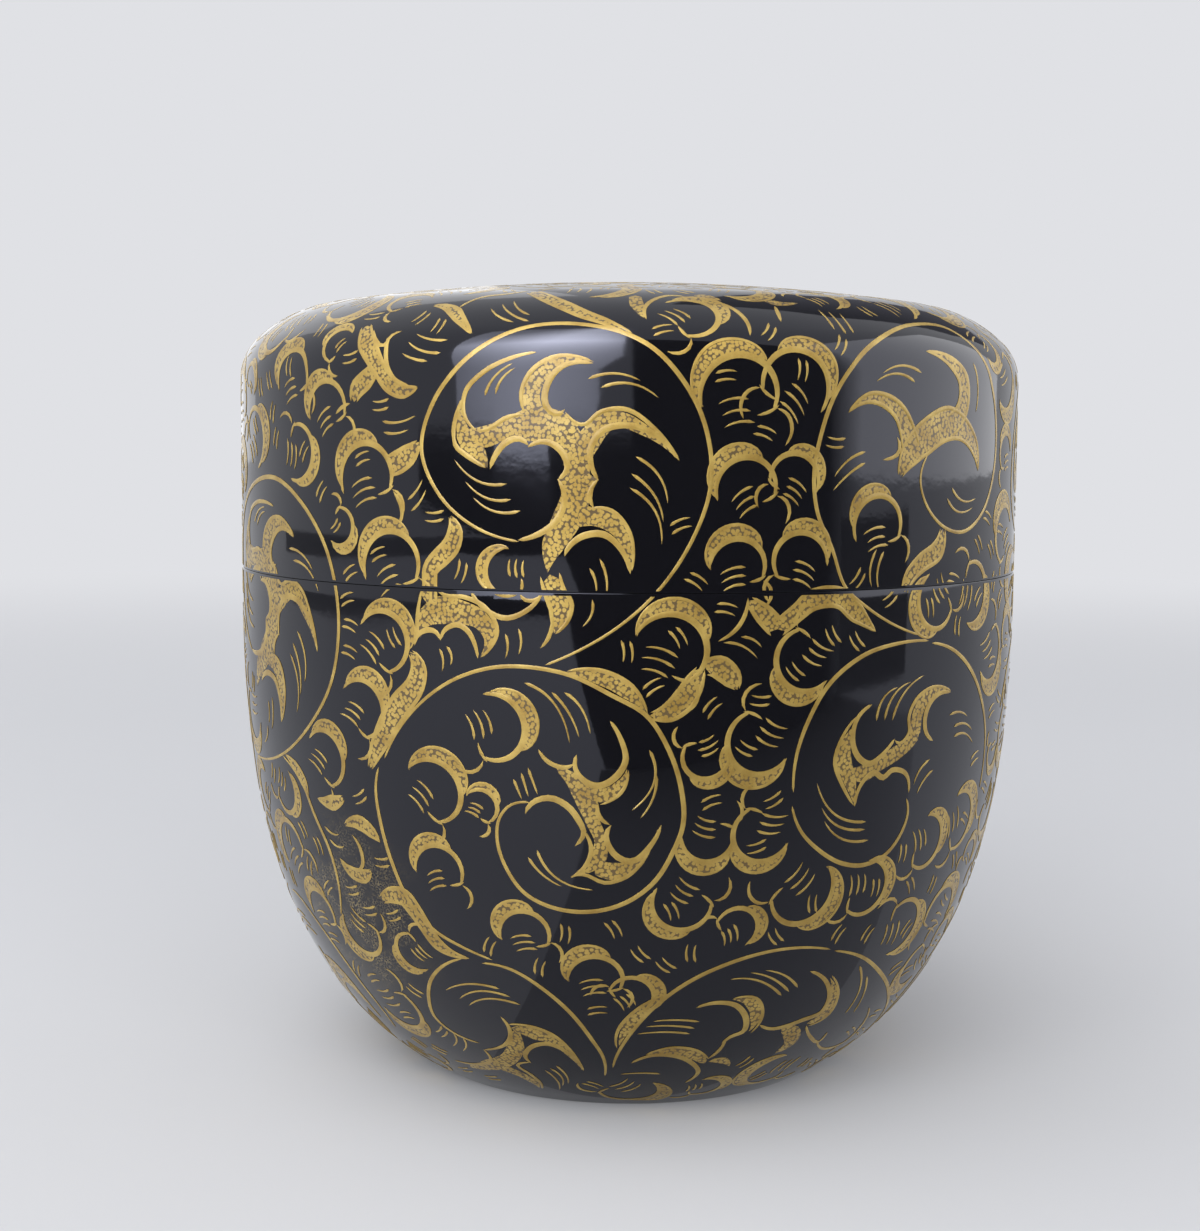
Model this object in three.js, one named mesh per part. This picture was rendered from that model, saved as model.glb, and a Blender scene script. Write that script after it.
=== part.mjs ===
// Lacquer tea caddy: a turned wooden body and a turned wooden lid, each under a coat of
// black lacquer, with a thin collar standing in the body's mouth that the lid slides over.
// The outside of lid and body is one flush curve, parted only by the seam.
// Millimetres, +Z up, standing on z = 0 with the turning axis on Z.

import * as THREE from 'three';

// Outside, measured over the lacquer
const RADIUS = 33;            // the lid's straight side, and the body at the seam
const HEIGHT = 66.3;          // floor to the crown of the lid
const SEAM_HEIGHT = 42.5;     // top of the body's rim
const SEAM_GAP = 0.2;         // open line between the two rims
const FOOT_RADIUS = 18.5;     // lower edge of the body's lacquer
const FOOT_HEIGHT = 0.8;      // how far that edge stays off the table
const BELLY_POWER = 2.66;     // exponent of the body's rounded side: 2 is an ellipse

// Lid's crown: three arcs that run into each other, from the straight side to the axis
const EDGE_RADIUS = 4.5;
const EDGE_TURN = Math.PI / 4;
const SHOULDER_RADIUS = 10.5;
const CROWN_RADIUS = 176;

// Layers and walls
const LACQUER = 0.6;          // coat with its hardened ground
const BOND_GAP = 0.1;         // between lacquer and wood
const LID_WALL = 1.8;         // the lid's wood
const FLOOR = 3.8;            // the body's wood over the hollow of the foot
const FOOT_RING_WIDTH = 3;
const FOOT_HOLLOW = 0.6;      // depth of the hollow inside the foot ring

// Collar: glued into a rebate in the body's mouth, and the lid's guide
const COLLAR_WALL = 1.4;
const COLLAR_SEAT = 6;        // depth of the rebate below the seam
const COLLAR_STAND = 9;       // height above the seam
const COLLAR_LEAD = 0.4;      // chamfer on the upper outer edge
const COLLAR_FIT = 0.2;       // running clearance to the lid, all round
const GLUE_GAP = 0.1;         // between collar and rebate

// Smoothness
const TURN_STEPS = 48;
const SIDE_STEPS = 11;
const EDGE_STEPS = 3;
const SHOULDER_STEPS = 3;
const CROWN_STEPS = 3;

// Sizes that follow from those above
const COAT_INSET = LACQUER + BOND_GAP;
const LID_INSET = COAT_INSET + LID_WALL;
const LID_BORE = RADIUS - LID_INSET;
const COLLAR_OUTER = LID_BORE - COLLAR_FIT;
const COLLAR_INNER = COLLAR_OUTER - COLLAR_WALL;
const REBATE_RADIUS = COLLAR_OUTER + GLUE_GAP;
const REBATE_FLOOR = SEAM_HEIGHT - COLLAR_SEAT;
const LID_RIM = SEAM_HEIGHT + SEAM_GAP;
const FLOOR_HEIGHT = FOOT_HOLLOW + FLOOR;

// Rounded side of a bowl: a superellipse that leaves its top edge upright and comes down to
// its foot. The points run from the foot up, each moved inwards by inset along its normal.
function bowlSide(topRadius, topHeight, footRadius, footHeight, inset) {
  const power = BELLY_POWER;
  const reach = Math.pow(1 - Math.pow(footRadius / topRadius, power), 1 / power);
  const depth = (topHeight - footHeight) / reach;
  const footAngle = Math.asin(Math.pow(reach, power / 2));
  const points = [];
  for (let step = 0; step <= SIDE_STEPS; step++) {
    const angle = footAngle * (1 - step / SIDE_STEPS);
    const across = Math.pow(Math.cos(angle), 2 / power);
    const down = Math.pow(Math.sin(angle), 2 / power);
    const normal = new THREE.Vector2(
      Math.pow(across, power - 1) / topRadius,
      -Math.pow(down, power - 1) / depth,
    ).normalize();
    points.push(new THREE.Vector2(
      topRadius * across - inset * normal.x,
      topHeight - depth * down - inset * normal.y,
    ));
  }
  return points;
}

// Side and crown of the lid, moved inwards by inset. The points run from the rim up to the axis.
function lidCurve(inset) {
  const radius = RADIUS - inset;
  const edge = EDGE_RADIUS - inset;
  const shoulder = SHOULDER_RADIUS - inset;
  const crown = CROWN_RADIUS - inset;
  const cosine = (radius - edge + (edge - shoulder) * Math.cos(EDGE_TURN)) / (crown - shoulder);
  const shoulderTurn = Math.acos(cosine);
  const arcs = [
    { size: edge, from: 0, to: EDGE_TURN, steps: EDGE_STEPS },
    { size: shoulder, from: EDGE_TURN, to: shoulderTurn, steps: SHOULDER_STEPS },
    { size: crown, from: shoulderTurn, to: Math.PI / 2, steps: CROWN_STEPS },
  ];
  let rise = 0;
  for (const arc of arcs) rise += arc.size * (Math.sin(arc.to) - Math.sin(arc.from));
  const points = [new THREE.Vector2(radius, LID_RIM)];
  let start = new THREE.Vector2(radius, HEIGHT - inset - rise);
  points.push(start);
  for (const arc of arcs) {
    for (let step = 1; step <= arc.steps; step++) {
      const angle = arc.from + (arc.to - arc.from) * step / arc.steps;
      points.push(new THREE.Vector2(
        start.x + arc.size * (Math.cos(angle) - Math.cos(arc.from)),
        start.y + arc.size * (Math.sin(angle) - Math.sin(arc.from)),
      ));
    }
    start = points[points.length - 1];
  }
  start.x = 0;
  return points;
}

// A profile is turned about Z. It is listed with the material on its left.
function turned(name, profile, material) {
  const geometry = new THREE.LatheGeometry(profile, TURN_STEPS);
  geometry.rotateX(Math.PI / 2);
  const mesh = new THREE.Mesh(geometry, material);
  mesh.name = name;
  return mesh;
}

const point = (radius, height) => new THREE.Vector2(radius, height);

const blackLacquer = new THREE.MeshStandardMaterial({ color: 0x0b0b10, roughness: 0.08, metalness: 0 });
const lacqueredWood = new THREE.MeshStandardMaterial({ color: 0x1a1413, roughness: 0.3, metalness: 0 });

// Turned wooden body: foot ring with its hollow, rounded side, rim, rebate for the collar, bowl
function bodyCore() {
  const side = bowlSide(RADIUS, SEAM_HEIGHT, FOOT_RADIUS, FOOT_HEIGHT, COAT_INSET);
  const footOuter = side[0].x;
  const footInner = footOuter - FOOT_RING_WIDTH;
  const bowl = bowlSide(COLLAR_INNER, REBATE_FLOOR, footOuter, FLOOR_HEIGHT, 0).reverse();
  return turned('body_core', [
    point(0, FOOT_HOLLOW),
    point(footInner, FOOT_HOLLOW),
    point(footInner, 0),
    point(footOuter, 0),
    ...side,
    point(REBATE_RADIUS, SEAM_HEIGHT),
    point(REBATE_RADIUS, REBATE_FLOOR),
    ...bowl,
    point(0, FLOOR_HEIGHT),
  ], lacqueredWood);
}

// Coat over the body's side, from just above the foot to the rim
function bodyLacquer() {
  const outside = bowlSide(RADIUS, SEAM_HEIGHT, FOOT_RADIUS, FOOT_HEIGHT, 0);
  const inside = bowlSide(RADIUS, SEAM_HEIGHT, FOOT_RADIUS, FOOT_HEIGHT, LACQUER).reverse();
  return turned('body_lacquer', [...outside, ...inside, outside[0]], blackLacquer);
}

// Collar that stands in the body's mouth
function innerCollar() {
  const bottom = REBATE_FLOOR + GLUE_GAP;
  const top = SEAM_HEIGHT + COLLAR_STAND;
  return turned('inner_collar', [
    point(COLLAR_INNER, bottom),
    point(COLLAR_OUTER, bottom),
    point(COLLAR_OUTER, top - COLLAR_LEAD),
    point(COLLAR_OUTER - COLLAR_LEAD, top),
    point(COLLAR_INNER, top),
    point(COLLAR_INNER, bottom),
  ], lacqueredWood);
}

// Turned wooden lid: one wall of even thickness
function lidCore() {
  const inside = lidCurve(LID_INSET).reverse();
  return turned('lid_core', [...inside, ...lidCurve(COAT_INSET)], lacqueredWood);
}

// Coat over the lid
function lidLacquer() {
  const inside = lidCurve(LACQUER).reverse();
  return turned('lid_lacquer', [...inside, ...lidCurve(0)], blackLacquer);
}

const body = new THREE.Group();
body.add(bodyCore(), bodyLacquer(), innerCollar());

const lid = new THREE.Group();
lid.add(lidCore(), lidLacquer());

const caddy = new THREE.Group();
caddy.add(body, lid);

export default caddy;
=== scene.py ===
# %% [markdown]
# A lacquer tea caddy, finished in Blender.
# The caddy is two turned pieces of wood, a body and a lid, under polished black lacquer, with
# gold scrolls drawn over the whole outside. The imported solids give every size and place, so
# this lesson only adds what the eye sees: smooth shells, gloss, and raised lines of gold.

# %% Load the frame
import math
import random

import bmesh
import bpy
import numpy as np
from mathutils import Matrix, Vector, kdtree


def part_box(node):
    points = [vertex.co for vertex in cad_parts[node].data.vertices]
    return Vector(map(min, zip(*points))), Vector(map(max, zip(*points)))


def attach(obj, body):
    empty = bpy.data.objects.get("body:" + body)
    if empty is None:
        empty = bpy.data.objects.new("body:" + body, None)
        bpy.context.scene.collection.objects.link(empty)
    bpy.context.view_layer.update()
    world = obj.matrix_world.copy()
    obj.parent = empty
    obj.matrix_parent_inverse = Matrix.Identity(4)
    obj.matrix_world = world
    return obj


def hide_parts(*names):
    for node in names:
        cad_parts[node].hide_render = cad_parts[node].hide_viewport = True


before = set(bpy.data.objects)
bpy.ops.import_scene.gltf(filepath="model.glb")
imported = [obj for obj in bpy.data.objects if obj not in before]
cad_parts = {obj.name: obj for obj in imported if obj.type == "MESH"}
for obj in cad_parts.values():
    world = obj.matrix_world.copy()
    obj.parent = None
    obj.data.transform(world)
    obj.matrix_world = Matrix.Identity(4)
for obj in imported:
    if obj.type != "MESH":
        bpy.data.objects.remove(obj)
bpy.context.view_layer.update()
MM = 0.001

# %% [markdown]
# The camera comes first, because everything is judged through it. It stands close to the caddy
# and a little above it, so the seam bends down in front and the top is almost edge-on. The
# distance, height and tilt were found by fitting the caddy's outline, and the lens goes with them.

# %% Camera
CAMERA_DISTANCE = 174.2 * MM
CAMERA_HEIGHT = 53.8 * MM
CAMERA_PITCH = math.radians(5.2)
CAMERA_YAW = math.radians(0.77)
CAMERA_ROLL = math.radians(0.36)
LENS = 58.5

scene = bpy.context.scene
camera = bpy.data.objects.new("camera", bpy.data.cameras.new("camera"))
scene.collection.objects.link(camera)
camera.data.lens = LENS
camera.data.clip_start = 10 * MM
camera.matrix_world = (
    Matrix.Translation((0, -CAMERA_DISTANCE, CAMERA_HEIGHT))
    @ Matrix.Rotation(CAMERA_YAW, 4, "Z")
    @ Matrix.Rotation(math.pi / 2 - CAMERA_PITCH, 4, "X")
    @ Matrix.Rotation(CAMERA_ROLL, 4, "Z")
)
scene.camera = camera
scene.view_settings.view_transform = "Standard"
print("camera", [round(x, 4) for x in camera.location])

# %% [markdown]
# A few small helpers serve every piece. One turns a written sRGB colour into the linear colour that
# Blender's sockets want. One adds a node, sets its sockets and links what is a socket of another
# node, so a material reads as a list of its layers. The last turns a mesh into a finished piece.


# %% Helpers
def colour(text):
    """A linear RGBA colour from an sRGB hex value."""
    parts = [int(text[i:i + 2], 16) / 255 for i in (1, 3, 5)]
    linear = [c / 12.92 if c <= 0.04045 else ((c + 0.055) / 1.055) ** 2.4 for c in parts]
    return (*linear, 1.0)


def node(tree, kind, sockets=None, **settings):
    """Adds a node, sets its properties and fills its sockets with values or links."""
    made = tree.nodes.new("ShaderNode" + kind)
    for name, value in settings.items():
        setattr(made, name, value)
    for name, value in (sockets or {}).items():
        if isinstance(value, bpy.types.NodeSocket):
            tree.links.new(value, made.inputs[name])
        else:
            made.inputs[name].default_value = value
    return made


def new_material(name):
    """An empty node material: its tree and its output node."""
    made = bpy.data.materials.new(name)
    made.use_nodes = True
    made.node_tree.nodes.clear()
    return made, made.node_tree, node(made.node_tree, "OutputMaterial")


def show(tree, output, shader):
    """Links a shader to the material's surface."""
    tree.links.new(shader.outputs[0], output.inputs["Surface"])


def piece_from(bm, name, material):
    """Turns a finished bmesh into an object at the origin, shaded smooth."""
    mesh = bpy.data.meshes.new(name)
    bm.to_mesh(mesh)
    bm.free()
    mesh.shade_smooth()
    mesh.materials.append(material)
    made = bpy.data.objects.new(name, mesh)
    scene.collection.objects.link(made)
    print(name, len(mesh.vertices), "vertices")
    return made


# %% [markdown]
# The stage is a pale table in a pale room. The table is quite matt, so that only the caddy mirrors
# what stands around it. Far off, the table fades into the colour of the room, and the horizon is
# hardly seen.

# %% Stage: table
TABLE_REACH = 4.0
MOTTLE_SIZE = 0.4
FADE_START, FADE_END = 0.20, 0.62
ROOM_COLOUR = "#e0e1e5"

table_material, tree, output = new_material("matt white laminate")
place = node(tree, "TexCoord").outputs["Object"]
mottle = node(tree, "TexNoise", {"Vector": place, "Scale": 1 / MOTTLE_SIZE, "Detail": 1.0})
tint = node(tree, "ValToRGB", {"Fac": mottle.outputs["Fac"]})
tint.color_ramp.elements[0].color = colour("#d6d7da")
tint.color_ramp.elements[1].color = colour("#dedfe2")
table_shader = node(tree, "BsdfDiffuse", {"Color": tint.outputs["Color"]})
distance = node(tree, "VectorMath", {0: place}, operation="LENGTH")
fade = node(tree, "MapRange", {
    "Value": distance.outputs["Value"], "From Min": FADE_START, "From Max": FADE_END,
}, interpolation_type="SMOOTHSTEP")
far = node(tree, "Emission", {"Color": colour(ROOM_COLOUR), "Strength": 1.0})
blend = node(tree, "MixShader", {
    "Fac": fade.outputs["Result"], 1: table_shader.outputs[0], 2: far.outputs[0],
})
show(tree, output, blend)

bm = bmesh.new()
bmesh.ops.create_grid(bm, x_segments=8, y_segments=8, size=TABLE_REACH)
table = piece_from(bm, "stage_table", table_material)

# %% [markdown]
# Polished lacquer is a dark mirror, so what stands around it matters more than any lamp. Dark felt
# cards give the shell its deep black middle, between the bright panes on both sides. Only gloss sees
# them, so they take no light from the table. One card thins out at its right end, because a hard edge
# would show on the lid.


# %% Stage: dark cards beside the camera
def felt(name, shade, thin=None):
    """Felt of one shade for the cards, which may thin out to nothing between two places along X."""
    made, tree, output = new_material(name)
    shader = node(tree, "BsdfPrincipled", {"Base Color": colour(shade), "Roughness": 0.9})
    if thin:
        axes = node(tree, "SeparateXYZ", {"Vector": node(tree, "TexCoord").outputs["Object"]})
        share = node(tree, "MapRange", {"Value": axes.outputs["X"], "From Min": thin[0], "From Max": thin[1]})
        nothing = node(tree, "BsdfTransparent")
        shader = node(tree, "MixShader", {
            "Fac": share.outputs["Result"], 1: shader.outputs[0], 2: nothing.outputs[0],
        })
    show(tree, output, shader)
    return made


def only_reflected(made):
    """Lets a stage piece show in gloss alone, so that it takes no light from the caddy or the table."""
    made.visible_camera = False
    made.visible_shadow = False
    made.visible_diffuse = False


def card(name, start, end, height, material, slant=0.0, low=0.0):
    """An upright card over a line on the table, its first upright side leaning out by slant."""
    start, end = Vector((*start, low)), Vector((*end, low))
    bm = bmesh.new()
    corners = [bm.verts.new(p) for p in (start, end)]
    bm.edges.new(corners)
    raised = bmesh.ops.extrude_edge_only(bm, edges=bm.edges)["geom"]
    raised = [v for v in raised if isinstance(v, bmesh.types.BMVert)]
    bmesh.ops.translate(bm, verts=raised, vec=(0, 0, height - low))
    lean = (start - end).normalized() * slant
    bmesh.ops.translate(bm, verts=[v for v in raised if (v.co - start).xy.length < 1e-6], vec=lean)
    only_reflected(piece_from(bm, name, material))


black_felt = felt("black felt", "#5c5c64")
grey_felt = felt("grey felt", "#8c8c90")
thin_felt = felt("black felt, frayed", "#5c5c64", thin=(0.150, 0.235))
card("stage_card_near", (0.002, -0.115), (0.235, -0.115), 0.20, thin_felt)
card("stage_card_near_low", (-0.010, -0.116), (0.004, -0.116), 0.053, black_felt, slant=0.030)
card("stage_card_side", (0.177, -0.115), (0.25, -0.04), 0.040, grey_felt)
card("stage_card_far_left", (-1.2, -0.70), (-0.52, -0.70), 0.055, black_felt)
card("stage_card_far", (-0.52, -0.70), (-0.23, -0.70), 0.042, black_felt)
card("stage_card_far_right", (-0.23, -0.70), (0.05, -0.70), 0.055, black_felt)
card("stage_card_front", (-0.08, -0.46), (-0.36, -0.31), 0.022, black_felt)
card("stage_card_left", (-0.36, -0.31), (-0.47, 0.20), 0.022, grey_felt)
card("stage_card_back", (0.12, 0.90), (0.70, 0.90), 1.50, black_felt, low=0.45)

# %% [markdown]
# The lower belly looks down at the table, so it mirrors the table's own tone. A strip in front of the caddy,
# again seen by gloss alone, carries a painted shadow. It is grey at the cards and fades towards the table's
# white, standing in for the shade the cards would throw on the table, and it keeps that mirror image dark.

# %% Stage: shaded strip of table in front of the cards
SHADOW_LEFT, SHADOW_RIGHT = -0.012, 0.177
SHADOW_FAR, SHADOW_NEAR = -0.115, -0.018
SHADOW_HEIGHT = 0.0002

painted_shadow_material, tree, output = new_material("painted shadow fading to white")
place = node(tree, "TexCoord").outputs["Object"]
across = node(tree, "SeparateXYZ", {"Vector": place})
share = node(tree, "MapRange", {"Value": across.outputs["Y"], "From Min": SHADOW_FAR, "From Max": SHADOW_NEAR})
# This ramp is a painted shadow: dark by the cards, fading to white towards the caddy.
shade = node(tree, "ValToRGB", {"Fac": share.outputs["Result"]})
shade.color_ramp.elements[0].color = colour("#505054")
shade.color_ramp.elements[1].color = colour("#b2b3b7")
show(tree, output, node(tree, "BsdfPrincipled", {"Base Color": shade.outputs["Color"], "Roughness": 0.9}))

bm = bmesh.new()
bmesh.ops.create_grid(bm, x_segments=1, y_segments=1, size=0.5)
bmesh.ops.scale(bm, verts=bm.verts, vec=(SHADOW_RIGHT - SHADOW_LEFT, SHADOW_NEAR - SHADOW_FAR, 1))
shadow_middle = ((SHADOW_LEFT + SHADOW_RIGHT) / 2, (SHADOW_FAR + SHADOW_NEAR) / 2, SHADOW_HEIGHT)
bmesh.ops.translate(bm, verts=bm.verts, vec=shadow_middle)
only_reflected(piece_from(bm, "stage_painted_shadow", painted_shadow_material))

# %% [markdown]
# The room is lit from the left by a window, from above, and from low in front. These lamps light the
# gold and the table, but gloss doesn't see them, because their plain faces would look like sheets
# of paper in the lacquer. The two walls do the opposite: they are there only to be mirrored.

# %% Stage: room light
world = bpy.data.worlds.new("pale room")
world.use_nodes = True
world.node_tree.nodes.clear()
tree = world.node_tree
path = node(tree, "LightPath")
seen = path.outputs["Is Camera Ray"]
for ray in ("Is Glossy Ray", "Is Transmission Ray"):
    seen = node(tree, "Math", {0: seen, 1: path.outputs[ray]}, operation="MAXIMUM").outputs[0]
level = node(tree, "MapRange", {"Value": seen, "To Min": 0.70, "To Max": 1.0})
sky = node(tree, "Background", {"Color": colour(ROOM_COLOUR), "Strength": level.outputs["Result"]})
world_output = node(tree, "OutputWorld")
tree.links.new(sky.outputs[0], world_output.inputs["Surface"])
scene.world = world


def softbox(name, width, height, place, aim, radiance, mirrored):
    """An area lamp of a given brightness, which is either only mirrored or only lights."""
    lamp = bpy.data.lights.new(name, "AREA")
    lamp.shape = "RECTANGLE"
    lamp.size = width
    lamp.size_y = height
    lamp.energy = radiance * math.pi * width * height
    made = bpy.data.objects.new(name, lamp)
    scene.collection.objects.link(made)
    place = Vector(place)
    turn = (Vector(aim) - place).to_track_quat("-Z", "Y").to_matrix().to_4x4()
    made.matrix_world = Matrix.Translation(place) @ turn
    made.visible_camera = False
    made.visible_glossy = mirrored
    made.visible_diffuse = not mirrored
    print(name, round(lamp.energy, 2), "W")


softbox("window_left", 1.03, 1.45, (-0.455, -0.90, 0.775), (-0.455, 0.0, 0.775), 2.2, mirrored=False)
softbox("wall_right", 1.10, 0.77, (0.70, 0.05, 0.42), (0.0, 0.05, 0.42), 1.2, mirrored=True)
softbox("ceiling", 1.0, 1.0, (-0.45, -0.1, 1.2), (0, 0, 0.045), 1.0, mirrored=False)
softbox("fill_front", 1.6, 0.4, (0.25, -1.1, 0.22), (0.0, 0.0, 0.03), 6.8, mirrored=False)
softbox("wall_back", 0.75, 0.85, (-0.45, 0.90, 0.46), (-0.45, 0.0, 0.46), 0.55, mirrored=True)

# %% [markdown]
# What the lacquer mirrors of the window is a plane that glows unevenly, brightest well above the
# table and dimmer towards its sides. Its right edge leans, and so does the side of the bright pane
# that it leaves on the shell.

# %% Stage: the window as the lacquer mirrors it
WINDOW_DISTANCE = 0.88
WINDOW_ROWS = ((-0.95, -0.17, 0.0), (-0.97, -0.12, 0.08), (-1.08, -0.025, 0.5), (-4.0, -0.015, 9.0))
WINDOW_UP = (
    (0.05, 4.6), (0.26, 5.4), (0.53, 6.8), (0.79, 9.0), (1.35, 15.0), (1.9, 12.0), (3.1, 8.5), (9.0, 5.5),
)
WINDOW_ACROSS = (
    (-4.0, 0.35), (-1.4, 0.32), (-0.9, 0.60), (-0.5, 1.0), (-0.35, 0.95), (-0.2, 0.82), (0.0, 0.48),
)


def graded(tree, value, stops):
    """A value that follows a list of (place, level) stops along a coordinate."""
    first, last = stops[0][0], stops[-1][0]
    top = max(level for _, level in stops)
    share = node(tree, "MapRange", {"Value": value, "From Min": first, "From Max": last})
    ramp = node(tree, "ValToRGB", {"Fac": share.outputs["Result"]})
    elements = ramp.color_ramp.elements
    for _ in stops[2:]:
        elements.new(0.5)
    for element, (where, level) in zip(elements, stops):
        element.position = (where - first) / (last - first)
        element.color = (level / top, level / top, level / top, 1.0)
    return node(tree, "Math", {0: ramp.outputs["Color"], 1: top}, operation="MULTIPLY").outputs[0]


window_material, tree, output = new_material("window light")
axes = node(tree, "SeparateXYZ", {"Vector": node(tree, "TexCoord").outputs["Object"]})
up = graded(tree, axes.outputs["Z"], WINDOW_UP)
across = graded(tree, axes.outputs["X"], WINDOW_ACROSS)
level = node(tree, "Math", {0: up, 1: across}, operation="MULTIPLY")
show(tree, output, node(tree, "Emission", {"Color": colour("#f4f6ff"), "Strength": level.outputs[0]}))

bm = bmesh.new()
bmesh.ops.create_grid(bm, x_segments=1, y_segments=len(WINDOW_ROWS) - 1, size=0.5)
for index, vert in enumerate(sorted(bm.verts, key=lambda v: (round(v.co.y, 4), v.co.x))):
    left, right, height = WINDOW_ROWS[index // 2]
    vert.co = ((left, right)[index % 2], -WINDOW_DISTANCE, height)
only_reflected(piece_from(bm, "stage_window", window_material))

# %% [markdown]
# The outside of the caddy is one line turned about the axis. The body's line is a superellipse,
# fuller than an ellipse, that leaves the seam upright. The lid goes straight up and closes with
# three arcs that run into each other. Both shells and all the gold are laid on this line, so it is
# kept as a table of radius, height and distance along the surface from the seam.

# %% The turned profile
lid_low, lid_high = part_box("lid_lacquer")
body_low, body_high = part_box("body_lacquer")
RADIUS = lid_high.x / MM
HEIGHT = lid_high.z / MM
SEAM = body_high.z / MM
LID_RIM = SEAM + 0.04
FOOT_HEIGHT = body_low.z / MM
FOOT_RADIUS = 18.5
BELLY_POWER = 2.66
EDGE_RADIUS = 4.5
EDGE_TURN = math.pi / 4
SHOULDER_RADIUS = 10.5
CROWN_RADIUS = 176.0


def body_line(steps):
    """Radius and height of the body's side, from the foot up to the seam."""
    reach = (1 - (FOOT_RADIUS / RADIUS) ** BELLY_POWER) ** (1 / BELLY_POWER)
    depth = (SEAM - FOOT_HEIGHT) / reach
    angle = math.asin(reach ** (BELLY_POWER / 2)) * np.linspace(1, 0, steps)
    across = np.cos(angle) ** (2 / BELLY_POWER)
    down = np.sin(angle) ** (2 / BELLY_POWER)
    return np.stack([RADIUS * across, SEAM - depth * down], axis=1)


def lid_line(steps, inset=0.0):
    """Radius and height of the lid, from the end of its straight side to the axis."""
    radius, edge, shoulder, crown = (
        size - inset for size in (RADIUS, EDGE_RADIUS, SHOULDER_RADIUS, CROWN_RADIUS)
    )
    cosine = (radius - edge + (edge - shoulder) * math.cos(EDGE_TURN)) / (crown - shoulder)
    turns = [0.0, EDGE_TURN, math.acos(cosine), math.pi / 2]
    line = [np.array([[radius, 0.0]])]
    for size, start, stop in zip((edge, shoulder, crown), turns, turns[1:]):
        angle = np.linspace(start, stop, steps)[1:]
        arc = np.stack([np.cos(angle) - math.cos(start), np.sin(angle) - math.sin(start)], axis=1)
        line.append(line[-1][-1] + size * arc)
    line = np.concatenate(line)
    line[:, 1] += HEIGHT - inset - line[-1, 1]
    line[-1, 0] = 0.0
    return line


outline = np.concatenate([body_line(300), lid_line(120)])
steps = np.hypot(*np.diff(outline, axis=0).T)
along = np.concatenate([[0.0], np.cumsum(steps)])
along -= np.interp(SEAM, outline[:, 1], along)
slope = np.gradient(outline, along, axis=0)
slope /= np.linalg.norm(slope, axis=1, keepdims=True)
print("surface runs from", round(along[0], 2), "mm at the foot to", round(along[-1], 2), "mm at the crown")

# %% [markdown]
# Each shell is drawn as half a section, edge by edge, and spun about the axis. The rims get a
# small round edge, because polished lacquer never ends in a sharp corner and that soft edge is
# what catches the light along the seam.

# %% Spinning a section
TURN_STEPS = 240
RIM_ROUND = 0.04


def rounded(corner, before, after, size=RIM_ROUND, steps=5):
    """Points that round off a corner between two neighbours."""
    corner, before, after = (np.array(p, float) for p in (corner, before, after))
    start = corner + size * (before - corner) / np.linalg.norm(before - corner)
    stop = corner + size * (after - corner) / np.linalg.norm(after - corner)
    share = np.linspace(0, 1, steps)[:, None]
    return (1 - share) ** 2 * start + 2 * share * (1 - share) * corner + share ** 2 * stop


def spun(section, closed):
    """A solid of revolution about Z from a list of (radius, height) points in millimetres."""
    bm = bmesh.new()
    verts = [bm.verts.new((r * MM, 0, z * MM)) for r, z in section]
    pairs = list(zip(verts, verts[1:]))
    if closed:
        pairs.append((verts[-1], verts[0]))
    edges = [bm.edges.new(pair) for pair in pairs]
    bmesh.ops.spin(
        bm, geom=verts + edges, cent=(0, 0, 0), axis=(0, 0, 1),
        angle=2 * math.pi, steps=TURN_STEPS, use_merge=True,
    )
    bmesh.ops.remove_doubles(bm, verts=bm.verts, dist=0.002 * MM)
    bmesh.ops.recalc_face_normals(bm, faces=bm.faces)
    return bm


# %% [markdown]
# Black lacquer is a tree sap that cures to a hard, deep, glossy film. Polished by hand it keeps a
# very slight ripple, a soft orange-peel that shows only where it mirrors something bright, and a
# few hazy patches from handling. Its index is taken as 1.57, a little above glass. Low on the left, a
# little of the gold dust from the drawing has stayed on the ground, as a thin dull haze.

# %% Black lacquer
PEEL_SIZE = 0.9
HAZE_SIZE = 14.0
DUST_SIZE = 0.16
DUST_CLOUD = 2.2
DUST_REACH = 10.0
DUST_ANGLE, DUST_RADIUS, DUST_HEIGHT = -45.0, 30.0, 16.5


def dusted(tree, place, base):
    """The undertone with gold dust rubbed in thinly round one place, as a colour socket."""
    angle = math.radians(DUST_ANGLE)
    middle = (DUST_RADIUS * MM * math.sin(angle), -DUST_RADIUS * MM * math.cos(angle), DUST_HEIGHT * MM)
    away = node(tree, "VectorMath", {0: place, 1: middle}, operation="DISTANCE")
    near = node(tree, "MapRange", {
        "Value": away.outputs["Value"], "From Min": DUST_REACH * MM, "From Max": 0.2 * DUST_REACH * MM,
    }, interpolation_type="SMOOTHSTEP")
    cloud = node(tree, "TexNoise", {"Vector": place, "Scale": 1 / (DUST_CLOUD * MM), "Detail": 2.0})
    patch = node(tree, "MapRange", {"Value": cloud.outputs["Fac"], "From Min": 0.35, "From Max": 0.6})
    speck = node(tree, "TexNoise", {"Vector": place, "Scale": 1 / (DUST_SIZE * MM), "Detail": 2.0})
    fleck = node(tree, "MapRange", {"Value": speck.outputs["Fac"], "From Min": 0.46, "From Max": 0.64})
    share = near.outputs["Result"]
    for layer in (patch, fleck):
        share = node(tree, "Math", {0: share, 1: layer.outputs["Result"]}, operation="MULTIPLY").outputs[0]
    mixed = node(tree, "Mix", {"Factor": share}, data_type="RGBA")
    mixed.inputs["A"].default_value = base
    mixed.inputs["B"].default_value = colour("#6f6242")
    return mixed.outputs["Result"]


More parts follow.
